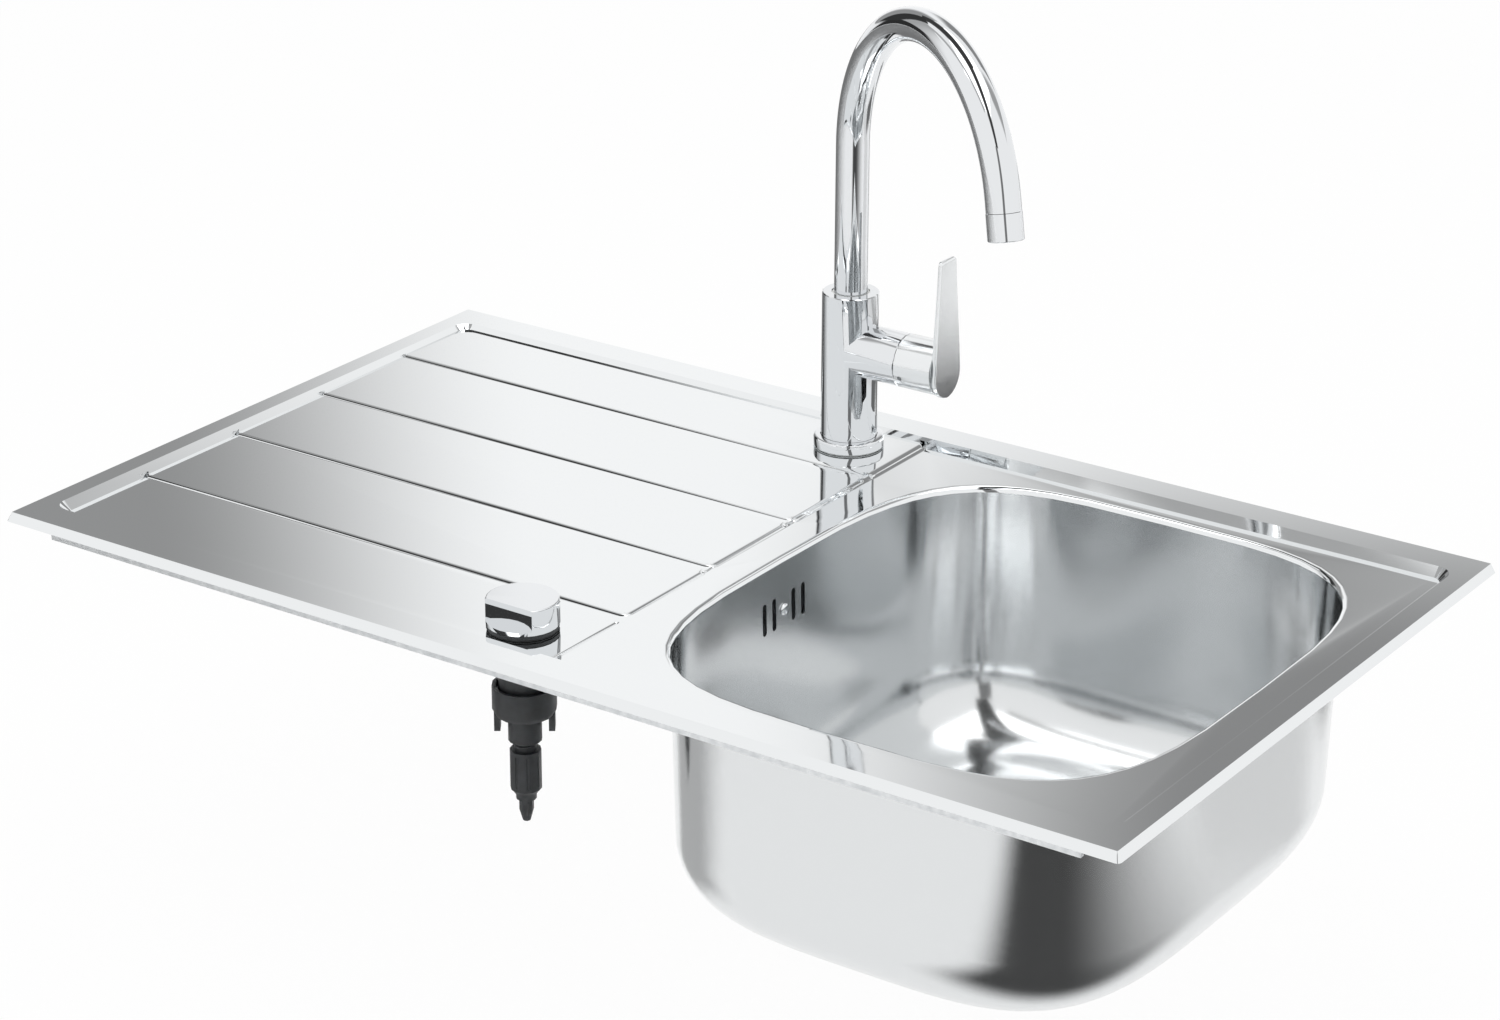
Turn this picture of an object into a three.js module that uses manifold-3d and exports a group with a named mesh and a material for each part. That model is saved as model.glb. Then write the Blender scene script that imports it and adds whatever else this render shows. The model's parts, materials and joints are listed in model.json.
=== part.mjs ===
// Inset kitchen sink with a terraced drainboard, one bowl, a swivel-spout mixer tap,
// a remote-control strainer waste and its overflow. Millimetres, +X towards the bowl, +Y to the back,
// +Z up. The origin is the centre of the rim at the height of the worktop it lies on.
import * as THREE from 'three';
import { mergeVertices } from 'three/addons/utils/BufferGeometryUtils.js';
import Module from 'manifold-3d';

const wasm = await Module();
wasm.setup();

// ---------- driving dimensions ----------
const gap = 0.3;                       // clearance between pieces that meet
const sides = { shown: 26, plain: 16, hidden: 12, small: 8, bore: 8 };   // facets round a turned piece

const sink = { length: 860, depth: 500, rim: 6.2, bevel: 3.2, corner: 3, sheet: 1 };
const basin = { sideBorder: 17.5, endBorder: 27, corner: 12, stepRun: 6, floorDrop: 6 };
const panels = {
  count: 5, backDepth: 76.5, frontDepth: 85.7, besideBowl: 28.2, rise: 0.65, slope: 1.4,
  grooveHalf: 2, grooveFoot: 0.7, grooveDepth: 0.9, grooveBend: 7, grooveStop: 10,
};
const bowl = {
  rightBorder: 45.3, endBorder: 48.5, halfLength: 175.5, power: 3.75, lip: 4, depth: 183,
  draft: 1.4, floorRadius: 55, fall: 3, crease: 1.3, points: 48,
};
const drain = { hole: 43.5, land: 12.5, recessDepth: 4.5, recessTaper: 1.5 };
const seal = { inset: 2, width: 5 };
const rail = { sealGap: 0.8, height: 10, wall: 1.2, foot: 3.6, stepGap: 0.7, endTrim: 20 };

const overflow = {
  drop: 37.5, pitch: 11.3, slotWidth: 4.6, slotHeight: 23, slots: 5, sideMargin: 8.1, endMargin: 8.5,
  depth: 22, wall: 2, gasket: 3, corner: 12, lip: 4, boss: 5, spigot: 10, spigotLength: 16, screw: 2.4,
  screwHead: 4.6,
};
const waste = {
  flangeMargin: 1.5, flangeSheet: 1.2, cupClearance: 1.8, cupDepth: 24, ports: 6, portRadius: 6,
  portInset: 18.5, sealThick: 1.5, sealLap: 2, bodyRoom: 2.7, bodyWall: 2.6, bodyDepth: 40, cone: 12,
  shoulder: 6, collar: 4,
  outlet: 20, outletLength: 18, side: 10, sideWall: 2, sideLength: 18, gland: 5, glandLength: 12,
  hub: 11, hubLength: 18, rib: 3, screw: 6, screwHead: 10.5, screwHeadHigh: 3, screwLength: 24,
  pin: 2.7, pinRise: 9, pinFoot: 4.4, pinFootHigh: 4, lift: 10,
};
const strainer = {
  rimGap: 1.1, sunk: 1, basketInset: 11.5, depth: 16, wall: 1.2, seal: 2.2, rings: [[6, 17], [8, 9]],
  hole: 2.2, post: 5, postRise: 6.5, grip: 9,
};
const tail = {
  nutWall: 6, nutHeight: 18, nutFloor: 3, grips: 8, flute: 2.2, washer: 2.5, pipeStep: 4, pipeWall: 1.8,
  collar: 2, length: 10,
};

const knob = {
  besideBowl: 71.7, fromFront: 62, radius: 23.8, plinth: 4, seal: 1, base: 2.5, height: 17, flat: 14.7,
  edge: 1, shell: 2.5, hollow: 8, bore: 9, hole: 17.5, spindle: 3, drum: 8, bushGap: 0.9, bushWall: 4.5,
  nutLap: 5.5, nutHeight: 9, washer: 2.5,
};
const cable = {
  cupTop: 39, cupBottom: 57, cupRoom: 2, cupWall: 2.4, cupFloor: 3, clipTop: 42, clipLow: 47, bushEnd: 48,
  tabDrop: 12, tabWidth: 11, tabThick: 4, tabInset: 1.5, tabTurn: 35, neckTop: 11, neckEnd: 81, neckLow: 7.2,
  sleeveTop: 85, sleeveEnd: 114, sleeve: 10.3, ribs: 8, ribDepth: 1, taperEnd: 120,
  nozzle: 4.8, nozzleEnd: 136, nozzleTip: 2.6, bore: 1.6,
};

const tap = {
  besideBowl: 71.7, fromBack: 62, hole: 17.5, cover: 2.5, top: 114.9, gasket: 0.8, baseWidth: 5,
  baseHeight: 7.5, baseRound: 2, side: 19, sideHeight: 73.4, seam: 47, boreRoom: 4, chamber: 6, riser: 4,
  port: 5, portDepth: 14, portX: 3, portOffset: 8.5,
};
const mount = {
  stud: 3.9, studLength: 58, studInset: 0.4, grip: 12, plateLap: 6.5, plateThick: 3, rubber: 4, nut: 6.6,
  nutHeight: 9,
};
const spout = {
  radius: 11.75, wall: 1.5, swing: -31, bendStart: 221.1, bend: 110.5, sweep: 167, endStraight: 25.5,
  steps: 14, sides: 16, root: 22, guideWall: 1.25, sleeve: 18.6, sleeveStep: 0.25, insert: 8, insertBore: 0.8,
};
const cartridge = {
  armWall: 2.1, shoulder: 2.6, length: 22, pivotInset: 12, domeHole: 12, domeWall: 1.4,
  carrier: 8, carrierLength: 3, stem: 3, stemStart: 5.5,
};
const lever = {
  hubLength: 29.8, socketWall: 4, bladeThick: 4.2, topThick: 3, bladeInset: 2.5, topHalf: 9.8,
  above: 80, footDrop: 1, ballGap: 0.7, screw: 2.4, screwInset: 8, screwSunk: 2.5, footSteps: 5,
  sideSteps: 5,
  marker: 1.6, markerDepth: 1.2, markerInset: 5, markerTurn: 68,
};

const rad = THREE.MathUtils.degToRad;

// ---------- sizes and places that follow from the ones above ----------
const rimTop = sink.rim;
const deckLevel = rimTop - basin.floorDrop;                       // bowl surround and front panel
const bowlX = sink.length / 2 - bowl.rightBorder - bowl.halfLength;
const bowlHalfWidth = sink.depth / 2 - bowl.endBorder;
const bowlLeft = bowlX - bowl.halfLength;
const panelsRight = bowlLeft - panels.besideBowl;
const panelsBack = sink.depth / 2 - basin.endBorder;
const panelPitch = (2 * panelsBack - panels.backDepth - panels.frontDepth) / (panels.count - 2);
const panelLevel = (k) => deckLevel + (panels.count - 1 - k) * panels.rise;
const panelLine = (k) => panelsBack - panels.backDepth - k * panelPitch;     // front edge of panel k
const railInset = sink.bevel + seal.inset + seal.width + rail.sealGap;
const seamLevel = deckLevel - bowl.lip;                            // where the drawn bowl is welded on
const bowlFloor = deckLevel - bowl.depth;
const drainFloor = bowlFloor - bowl.fall - drain.recessDepth;
const recess = drain.hole + drain.land + drain.recessTaper;
const flangeRadius = drain.hole + drain.land - waste.flangeMargin;
const cupRadius = drain.hole - waste.cupClearance - waste.flangeSheet;
const bodyRadius = cupRadius + waste.flangeSheet + waste.bodyRoom + waste.bodyWall;
const knobX = bowlLeft - knob.besideBowl;
const knobY = knob.fromFront - sink.depth / 2;
const bushRadius = knob.hole - knob.bushGap;
const cableCup = bushRadius + cable.cupRoom + cable.cupWall;
const tapX = bowlLeft - tap.besideBowl;
const tapY = sink.depth / 2 - tap.fromBack;
const tapRadius = tap.hole + tap.cover;
const baseRadius = tapRadius + tap.baseWidth;
const spoutBore = spout.radius + spout.guideWall + 2 * gap;       // the body's bore round the spout's guides
const studOffset = tap.hole - mount.stud - mount.studInset;
const nutRadius = tap.side - cartridge.armWall - gap;
const cartridgeRadius = nutRadius - cartridge.shoulder;
const leverEnd = tap.seam + lever.hubLength;

// ---------- finishes ----------
const finishes = {
  polished: { color: 0xd9dcde, metalness: 1, roughness: 0.12 },
  satin: { color: 0xc9cccd, metalness: 1, roughness: 0.32 },
  chrome: { color: 0xe4e7e9, metalness: 1, roughness: 0.05 },
  brass: { color: 0xb9995a, metalness: 1, roughness: 0.35 },
  zinc: { color: 0xa9adb0, metalness: 1, roughness: 0.4 },
  blackPlastic: { color: 0x26282b, metalness: 0, roughness: 0.45 },
  greyPlastic: { color: 0x8f9498, metalness: 0, roughness: 0.5 },
  whitePlastic: { color: 0xe6e7e6, metalness: 0, roughness: 0.45 },
  rubber: { color: 0x1a1b1c, metalness: 0, roughness: 0.8 },
  foam: { color: 0x3a3c3e, metalness: 0, roughness: 0.95 },
};
const materials = Object.fromEntries(
  Object.entries(finishes).map(([name, look]) => [name, new THREE.MeshStandardMaterial(look)]),
);

// ---------- solids ----------
// Shares the vertices of a geometry and leaves out triangles that close up to a line.
function weld(geometry) {
  const bare = geometry.clone();
  bare.deleteAttribute('normal');
  bare.deleteAttribute('uv');
  const merged = mergeVertices(bare, 1e-4);
  const index = merged.index.array;
  const kept = [];
  for (let i = 0; i < index.length; i += 3) {
    const [a, b, c] = [index[i], index[i + 1], index[i + 2]];
    if (a !== b && b !== c && c !== a) kept.push(a, b, c);
  }
  merged.setIndex(kept);
  return merged;
}

function solid(shape) {
  if (!shape.isBufferGeometry) return shape;
  const merged = weld(shape);
  const mesh = new wasm.Mesh({
    numProp: 3,
    vertProperties: new Float32Array(merged.attributes.position.array),
    triVerts: new Uint32Array(merged.index.array),
  });
  return new wasm.Manifold(mesh);
}

const join = (first, ...rest) => rest.reduce((sum, shape) => sum.add(solid(shape)), solid(first));
const cut = (first, ...rest) => rest.reduce((left, shape) => left.subtract(solid(shape)), solid(first));
const common = (first, second) => solid(first).intersect(solid(second));

function geometryOf(shape) {
  if (shape.isBufferGeometry) return weld(shape);
  const mesh = shape.getMesh();
  const geometry = new THREE.BufferGeometry();
  geometry.setAttribute('position', new THREE.BufferAttribute(mesh.vertProperties, 3));
  geometry.setIndex(new THREE.BufferAttribute(mesh.triVerts, 1));
  return geometry;
}

function piece(name, shape, finish) {
  const geometry = geometryOf(shape);
  geometry.computeVertexNormals();
  const mesh = new THREE.Mesh(geometry, materials[finish]);
  mesh.name = name;
  return mesh;
}

function place(x, y, z, ...children) {
  const group = new THREE.Group();
  group.position.set(x, y, z);
  group.add(...children);
  return group;
}

// ---------- outlines, lofts and revolves ----------
function superellipse(halfX, halfY, power, count) {
  return Array.from({ length: count }, (_, i) => {
    const t = (2 * Math.PI * i) / count;
    const c = Math.cos(t);
    const s = Math.sin(t);
    const x = Math.sign(c) * halfX * Math.abs(c) ** (2 / power);
    const y = Math.sign(s) * halfY * Math.abs(s) ** (2 / power);
    return new THREE.Vector2(x, y);
  });
}

const circle = (radius, count) => superellipse(radius, radius, 2, count);

function roundedRect(halfX, halfY, radius, perCorner = 5) {
  const points = [];
  const centres = [[1, 1], [-1, 1], [-1, -1], [1, -1]];
  centres.forEach(([sx, sy], quarter) => {
    for (let i = 0; i <= perCorner; i += 1) {
      const angle = ((quarter + i / perCorner) * Math.PI) / 2;
      const x = sx * (halfX - radius) + radius * Math.cos(angle);
      const y = sy * (halfY - radius) + radius * Math.sin(angle);
      points.push(new THREE.Vector2(x, y));
    }
  });
  return points;
}

const level = (outline, z) => outline.map((p) => new THREE.Vector3(p.x, p.y, z));
const shiftBy = (outline, x, y) => outline.map((p) => new THREE.Vector2(p.x + x, p.y + y));

// Joins rings of equal point counts. A looped skin runs back from the last ring to the first;
// otherwise both end rings are closed with a flat face.
function skin(rings, looped = false) {
  const count = rings[0].length;
  const position = rings.flat().flatMap((p) => [p.x, p.y, p.z]);
  const index = [];
  const spans = looped ? rings.length : rings.length - 1;
  for (let r = 0; r < spans; r += 1) {
    const low = r * count;
    const high = ((r + 1) % rings.length) * count;
    for (let i = 0; i < count; i += 1) {
      const next = (i + 1) % count;
      index.push(low + i, low + next, high + next, low + i, high + next, high + i);
    }
  }
  if (!looped) {
    const last = (rings.length - 1) * count;
    const flat = facePlane(rings[0]);
    THREE.ShapeUtils.triangulateShape(flat, []).forEach(([a, b, c]) => index.push(a, c, b));
    const top = THREE.ShapeUtils.triangulateShape(facePlane(rings[rings.length - 1]), []);
    top.forEach(([a, b, c]) => index.push(last + a, last + b, last + c));
  }
  const geometry = new THREE.BufferGeometry();
  geometry.setAttribute('position', new THREE.Float32BufferAttribute(position, 3));
  geometry.setIndex(index);
  return geometry;
}

// A ring's points in its own plane, anticlockwise.
function facePlane(ring) {
  const normal = new THREE.Vector3();
  ring.forEach((p, i) => normal.add(new THREE.Vector3().crossVectors(p, ring[(i + 1) % ring.length])));
  normal.normalize();
  const side = new THREE.Vector3(0, 1, 0).cross(normal);
  if (side.lengthSq() < 0.01) side.set(1, 0, 0);
  side.normalize();
  const up = new THREE.Vector3().crossVectors(normal, side);
  return ring.map((p) => new THREE.Vector2(p.dot(side), p.dot(up)));
}

// Revolves [radius, height] points, anticlockwise, about Z.
function turned(profile, facets = sides.hidden) {
  const closes = profile[0][0] > 0;
  const points = profile.map(([r, z]) => new THREE.Vector2(r, z));
  if (closes) points.push(points[0].clone());
  return new THREE.LatheGeometry(points, facets).rotateX(Math.PI / 2);
}

const tube = (outer, inner, low, high, facets) =>
  turned([[outer, low], [outer, high], [inner, high], [inner, low]], facets);
const disc = (radius, low, high, facets) =>
  turned([[0, low], [radius, low], [radius, high], [0, high]], facets);
const towardsX = (geometry) => geometry.rotateY(Math.PI / 2);

// Extrudes an outline drawn as (Y, Z) along X.
function alongX(outline, from, to) {
  const shape = new THREE.Shape(outline);
  const geometry = new THREE.ExtrudeGeometry(shape, { depth: to - from, bevelEnabled: false });
  return geometry.rotateX(Math.PI / 2).rotateZ(Math.PI / 2).translate(from, 0, 0);
}

function prism(outline, low, high) {
  const shape = new THREE.Shape(outline);
  return new THREE.ExtrudeGeometry(shape, { depth: high - low, bevelEnabled: false }).translate(0, 0, low);
}

// ---------- sink sheet ----------
const rimOutline = (grow, corner = sink.corner) =>
  roundedRect(sink.length / 2 + grow, sink.depth / 2 + grow, Math.max(corner + grow, 0.5), 4);

function basinOutline(grow) {
  const halfX = sink.length / 2 - basin.sideBorder + grow;
  const halfY = sink.depth / 2 - basin.endBorder + grow;
  return roundedRect(halfX, halfY, basin.corner + grow, 6);
}

const bowlOutline = (grow) =>
  superellipse(bowl.halfLength + grow, bowlHalfWidth + grow, bowl.power, bowl.points);

// One raised terrace of the drainboard, from the left border to its right edge.
function terrace(k, inward, floor) {
  const left = -sink.length / 2 + basin.sideBorder - 1;
  const back = k === 0 ? panelsBack + 1 : panelLine(k - 1) + 1;
  const front = panelLine(k) + inward;
  const right = panelsRight - inward;
  const top = panelLevel(k) - inward;
  const corner = panels.grooveBend;
  const ring = (z) => {
    const run = (top - z) * panels.slope;
    const outline = [new THREE.Vector2(left, back), new THREE.Vector2(left, front - run)];
    for (let i = 0; i <= 3; i += 1) {
      const angle = rad(-90 + 30 * i);
      const x = right + run - corner + corner * Math.cos(angle);
      const y = front - run + corner + corner * Math.sin(angle);
      outline.push(new THREE.Vector2(x, y));
    }
    outline.push(new THREE.Vector2(right + run, back));
    return level(outline, z);
  };
  return skin([ring(floor), ring(top)]);
}

// Outline of a groove's L-shaped stroke: along the front of a panel, round the bend and back beside it.
function groovePath(k, half) {
  const y = panelLine(k);
  const x = panelsRight;
  const left = -sink.length / 2 + basin.sideBorder + basin.stepRun / 2;
  const back = k === 0 ? panelsBack : panelLine(k - 1) - panels.grooveStop;
  const bend = panels.grooveBend;
  const outline = [new THREE.Vector2(left, y + half), new THREE.Vector2(left, y - half)];
  const arc = (radius, from, to, centreX, centreY, steps) => {
    for (let i = 0; i <= steps; i += 1) {
      const angle = rad(from + ((to - from) * i) / steps);
      outline.push(new THREE.Vector2(centreX + radius * Math.cos(angle), centreY + radius * Math.sin(angle)));
    }
  };
  arc(bend + half, -90, 0, x - bend, y + bend, 3);
  arc(half, 0, 180, x, back, 4);
  arc(bend - half, 0, -90, x - bend, y + bend, 3);
  return outline;
}

// The short groove beside the front panel, with a round end at each side.
function frontGroovePath(half) {
  const back = panelLine(panels.count - 2) - panels.grooveStop;
  const front = -sink.depth / 2 + basin.endBorder + basin.stepRun + half + 2;
  const outline = [];
  [[back, 0], [front, 180]].forEach(([end, start]) => {
    for (let i = 0; i <= 4; i += 1) {
      const angle = rad(start + 45 * i);
      outline.push(new THREE.Vector2(panelsRight + half * Math.cos(angle), end + half * Math.sin(angle)));
    }
  });
  return outline;
}

function groove(path, lowSide, grow) {
  const foot = lowSide - panels.grooveDepth - grow;
  const reach = panels.grooveDepth + grow + 2;
  const spread = (panels.grooveHalf - panels.grooveFoot) / panels.grooveDepth;
  const footHalf = panels.grooveFoot + grow * 0.6;
  return skin([level(path(footHalf), foot), level(path(footHalf + reach * spread), foot + reach)]);
}

// The opening's mouth: straight above the deck, rolled over the lip, straight below it.
function bowlMouth(grow, bottom, steps) {
  const rings = [level(bowlOutline(grow), bottom)];
  for (let i = 0; i <= steps; i += 1) {
    const angle = rad((90 * i) / steps);
    const radius = bowl.lip - grow;
    const out = bowl.lip - radius * Math.cos(angle);
    rings.push(level(bowlOutline(out), seamLevel + radius * Math.sin(angle)));
  }
  rings.push(level(bowlOutline(bowl.lip), rimTop + 1));
  return skin(rings).translate(bowlX, 0, 0);
}

// The form under one face of the sheet: offset 0 is the top face, offset sheet the underside.
function deckForm(offset, bottom) {
  const rim = skin([
    level(rimOutline(-offset), bottom),
    level(rimOutline(-offset), 0),
    level(rimOutline(-offset - (sink.bevel * (rimTop - offset)) / rimTop), rimTop - offset),
  ]);
  const floor = deckLevel - offset;
  const runPerDrop = basin.stepRun / basin.floorDrop;
  const pocket = skin([
    level(basinOutline(offset - runPerDrop * (rimTop - floor)), floor),
    level(basinOutline(offset + runPerDrop), rimTop + 1),
  ]);
  let form = cut(rim, pocket);
  for (let k = 0; k < panels.count - 1; k += 1) {
    form = join(form, terrace(k, offset, bottom / 2));
  }
  for (let k = 0; k < panels.count - 1; k += 1) {
    form = cut(form, groove((half) => groovePath(k, half), panelLevel(k + 1), offset));
  }
  form = cut(form, groove(frontGroovePath, deckLevel, offset));
  return cut(form, bowlMouth(offset, bottom - 1, offset > 0 ? 2 : 3));
}

function sinkDeck() {
  const top = deckForm(0, seamLevel);
  const under = deckForm(sink.sheet, seamLevel - 1);
  const skirt = cut(prism(rimOutline(5), seamLevel - 2, 0), prism(rimOutline(-8), seamLevel - 3, 1));
  const tapHole = disc(tap.hole, -20, 20, sides.plain).translate(tapX, tapY, 0);
  const knobHole = disc(knob.hole, -20, 20, sides.plain).translate(knobX, knobY, 0);
  return cut(top, under, skirt, tapHole, knobHole);
}

// ---------- bowl ----------
// Inner face of the bowl from the weld to the drain hole, as rings; grow moves it outwards by the sheet.
function bowlRings(grow) {
  const rings = [];
  const wallEnd = bowlFloor + bowl.floorRadius;
  const slope = Math.tan(rad(bowl.draft));
  [seamLevel, wallEnd].forEach((z) => rings.push(level(bowlOutline(grow - (seamLevel - z) * slope), z)));
  const inset = (seamLevel - wallEnd) * slope;
  const arcSteps = 4;
  for (let i = 1; i <= arcSteps; i += 1) {
    const angle = rad((90 * i) / arcSteps);
    const reach = bowl.floorRadius + grow;
    const z = wallEnd - reach * Math.sin(angle);
    const shrink = inset + bowl.floorRadius - reach * Math.cos(angle);
    rings.push(level(bowlOutline(-shrink), z));
  }
  const edge = bowlOutline(-inset - bowl.floorRadius);
  const well = circle(recess + grow, bowl.points);
  const corner = bowl.points / 8;
  const floorSteps = 2;
  for (let i = 1; i <= floorSteps; i += 1) {
    const s = i / floorSteps;
    const ring = edge.map((p, n) => {
      const onCrease = n % (2 * corner) === corner;
      const drop = bowl.fall * s + (onCrease ? bowl.crease * (1 - s * s) : 0);
      const flat = p.clone().lerp(well[n], s);
      return new THREE.Vector3(flat.x, flat.y, bowlFloor - grow - drop);
    });
    rings.push(ring);
  }
  const low = drainFloor - grow;
  rings.push(level(circle(recess - drain.recessTaper + grow, bowl.points), low));
  rings.push(level(circle(drain.hole, bowl.points), low));
  return rings;
}

const slotOutline = (width, height) => roundedRect(width / 2, height / 2, width / 2 - 0.01, 2);

const overflowLevel = deckLevel - overflow.drop;
const wallInset = (seamLevel - overflowLevel) * Math.tan(rad(bowl.draft));
const leftWallX = bowlLeft + wallInset;                      // inner face of the wall at the overflow
const wallLean = rad(bowl.draft);

function overflowFrame(...children) {
  const group = place(leftWallX, 0, overflowLevel, ...children);
  group.rotation.y = -wallLean;
  return group;
}

function sinkBowl() {
  const inner = bowlRings(0);
  const outer = bowlRings(sink.sheet).reverse();
  const shell = skin([...outer, ...inner], true);
  let wall = solid(shell.translate(bowlX, 0, 0));
  const middle = (overflow.slots - 1) / 2;
  for (let i = 0; i < overflow.slots; i += 1) {
    const screwHole = 2 * overflow.screw + 1;
    const size = i === middle ? [screwHole, screwHole] : [overflow.slotWidth, overflow.slotHeight];
    const cutter = alongX(slotOutline(...size), -overflow.wall * 3, overflow.wall * 3);
    cutter.translate(0, (i - middle) * overflow.pitch, 0).rotateY(-wallLean);
    cutter.translate(leftWallX, 0, overflowLevel);
    wall = wall.subtract(solid(cutter));
  }
  return wall;
}

// ---------- rim underside ----------
function rimSeal() {
  const high = rimTop - sink.sheet - gap;
  const outline = rimOutline(-sink.bevel - seal.inset);
  const inside = rimOutline(-sink.bevel - seal.inset - seal.width, sink.corner + 6);
  return cut(prism(outline, 0, high), prism(inside, -1, high + 1));
}

// A folded channel, open to the inside, hung under the rim on its top flange.
function railSection() {
  const top = rimTop - sink.sheet;
  const shape = new THREE.Shape();
  const { wall, height, foot } = rail;
  const flange = basin.sideBorder - railInset - rail.stepGap;
  shape.moveTo(0, top - gap);
  shape.lineTo(0, -height);
  shape.lineTo(foot, -height);
  shape.lineTo(foot, -height + wall);
  shape.lineTo(wall, -height + wall);
  shape.lineTo(wall, top - gap - wall);
  shape.lineTo(flange, top - gap - wall);
  shape.lineTo(flange, top - gap);
  shape.closePath();
  return shape;
}

function railAlong(length) {
  const geometry = new THREE.ExtrudeGeometry(railSection(), { depth: length, bevelEnabled: false });
  return geometry.rotateX(Math.PI / 2).translate(0, length / 2, 0);
}

function rails() {
  const sideX = sink.length / 2 - railInset;
  const sideY = sink.depth / 2 - railInset;
  const longRail = 2 * (sideX - rail.endTrim);
  const shortRail = 2 * (sideY - rail.endTrim);
  const left = piece('rail_left', railAlong(shortRail), 'zinc');
  left.position.x = -sideX;
  const right = piece('rail_right', railAlong(shortRail), 'zinc');
  right.rotation.z = Math.PI;
  right.position.x = sideX;
  const front = piece('rail_front', railAlong(longRail), 'zinc');
  front.rotation.z = Math.PI / 2;
  front.position.y = -sideY;
  const back = piece('rail_back', railAlong(longRail), 'zinc');
  back.rotation.z = -Math.PI / 2;
  back.position.y = sideY;
  return [left, right, front, back];
}

// ---------- overflow ----------
function overflowPieces() {
  const slotSpan = (overflow.slots - 1) * overflow.pitch + overflow.slotWidth;
  const half = { y: slotSpan / 2 + overflow.sideMargin, z: overflow.slotHeight / 2 + overflow.endMargin };
  const { corner, lip, wall, boss: bossRadius, screwHead: head } = overflow;
  const block = (inset, from, to) =>
    alongX(roundedRect(half.y - inset, half.z - inset, corner - inset * 0.75, 3), from, to);
  const gasketOut = -sink.sheet - gap;                             // against the outer face of the wall
  const gasketIn = gasketOut - overflow.gasket;
  const gasket = cut(block(0, gasketIn, gasketOut), block(lip, gasketIn - 1, gasketOut + 1));
  const boxOut = gasketIn - gap;
  const boxBack = boxOut - overflow.depth;
  const shell = cut(block(0, boxBack, boxOut), block(wall, boxBack + wall, boxOut + 1));
  const boss = towardsX(disc(bossRadius, boxBack + 1, boxOut, sides.small));
  const spigotX = (boxBack + boxOut) / 2;
  const spigotLow = -half.z - overflow.spigotLength;
  const spigot = disc(overflow.spigot, spigotLow, -half.z + 1).translate(spigotX, 0, 0);
  const spigotBore = disc(overflow.spigot - wall, spigotLow - 1, -half.z + 6).translate(spigotX, 0, 0);
  const screwHole = towardsX(disc(overflow.screw + gap, boxBack - 1, boxOut + 1, sides.small));
  const housing = cut(join(shell, boss, spigot), spigotBore, screwHole);
  const screw = towardsX(turned([
    [0, boxBack + 2], [overflow.screw, boxBack + 2], [overflow.screw, gap],
    [head, gap], [head, gap + 0.8], [head - 1.4, gap + 2], [0, gap + 2],
  ], sides.small));
  return overflowFrame(
    piece('overflow_gasket', gasket, 'rubber'),
    piece('overflow_housing', housing, 'greyPlastic'),
    piece('overflow_screw', screw, 'chrome'),
  );
}

// ---------- waste ----------
const wasteLevels = (() => {
  const w = waste;
  const sealTop = drainFloor + gap + w.sealThick;
  const flangeLow = sealTop + gap;
  const flangeTop = flangeLow + w.flangeSheet;
  const cupLow = flangeTop - w.cupDepth;
  const sealUnder = drainFloor - sink.sheet - gap;
  const bodyTop = sealUnder - w.sealThick - gap;
  const bodyLow = bodyTop - w.bodyDepth;
  const hubTop = cupLow - w.flangeSheet - gap;
  const screwTop = cupLow + w.screwHeadHigh;
  const screwLow = screwTop - w.screwLength;
  const pinTop = screwTop + w.pinRise;
  return {
    sealTop, flangeLow, flangeTop, cupLow, sealUnder, bodyTop, bodyLow, hubTop, screwTop, screwLow, pinTop,
    outletLow: bodyLow - w.outletLength,
  };
})();

function around(count, radius, shape, turn = 0) {
  return Array.from({ length: count }, (_, i) => {
    const angle = (2 * Math.PI * (i + turn)) / count;
    return shape.clone().translate(radius * Math.cos(angle), radius * Math.sin(angle), 0);
  });
}

// Pressed flange with its cup; the cup's floor has drain ports round the screw hole.
function wasteFlange() {
  const w = waste;
  const { flangeLow, flangeTop, cupLow } = wasteLevels;
  const cupOuter = cupRadius + w.flangeSheet;
  const cup = turned([
    [w.screw + gap, cupLow - w.flangeSheet], [cupOuter - 3, cupLow - w.flangeSheet], [cupOuter, cupLow + 2],
    [cupOuter, flangeLow], [flangeRadius, flangeLow], [flangeRadius, flangeTop - 0.5],
    [flangeRadius - 0.8, flangeTop], [cupRadius + 1.5, flangeTop], [cupRadius, flangeTop - 1.5],
    [cupRadius, cupLow + 3], [cupRadius - 3, cupLow], [w.screw + gap, cupLow],
  ], sides.plain);
  const port = disc(w.portRadius, cupLow - 5, cupLow + 5, sides.bore);
  return cut(cup, ...around(w.ports, cupRadius - w.portInset, port));
}

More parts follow.
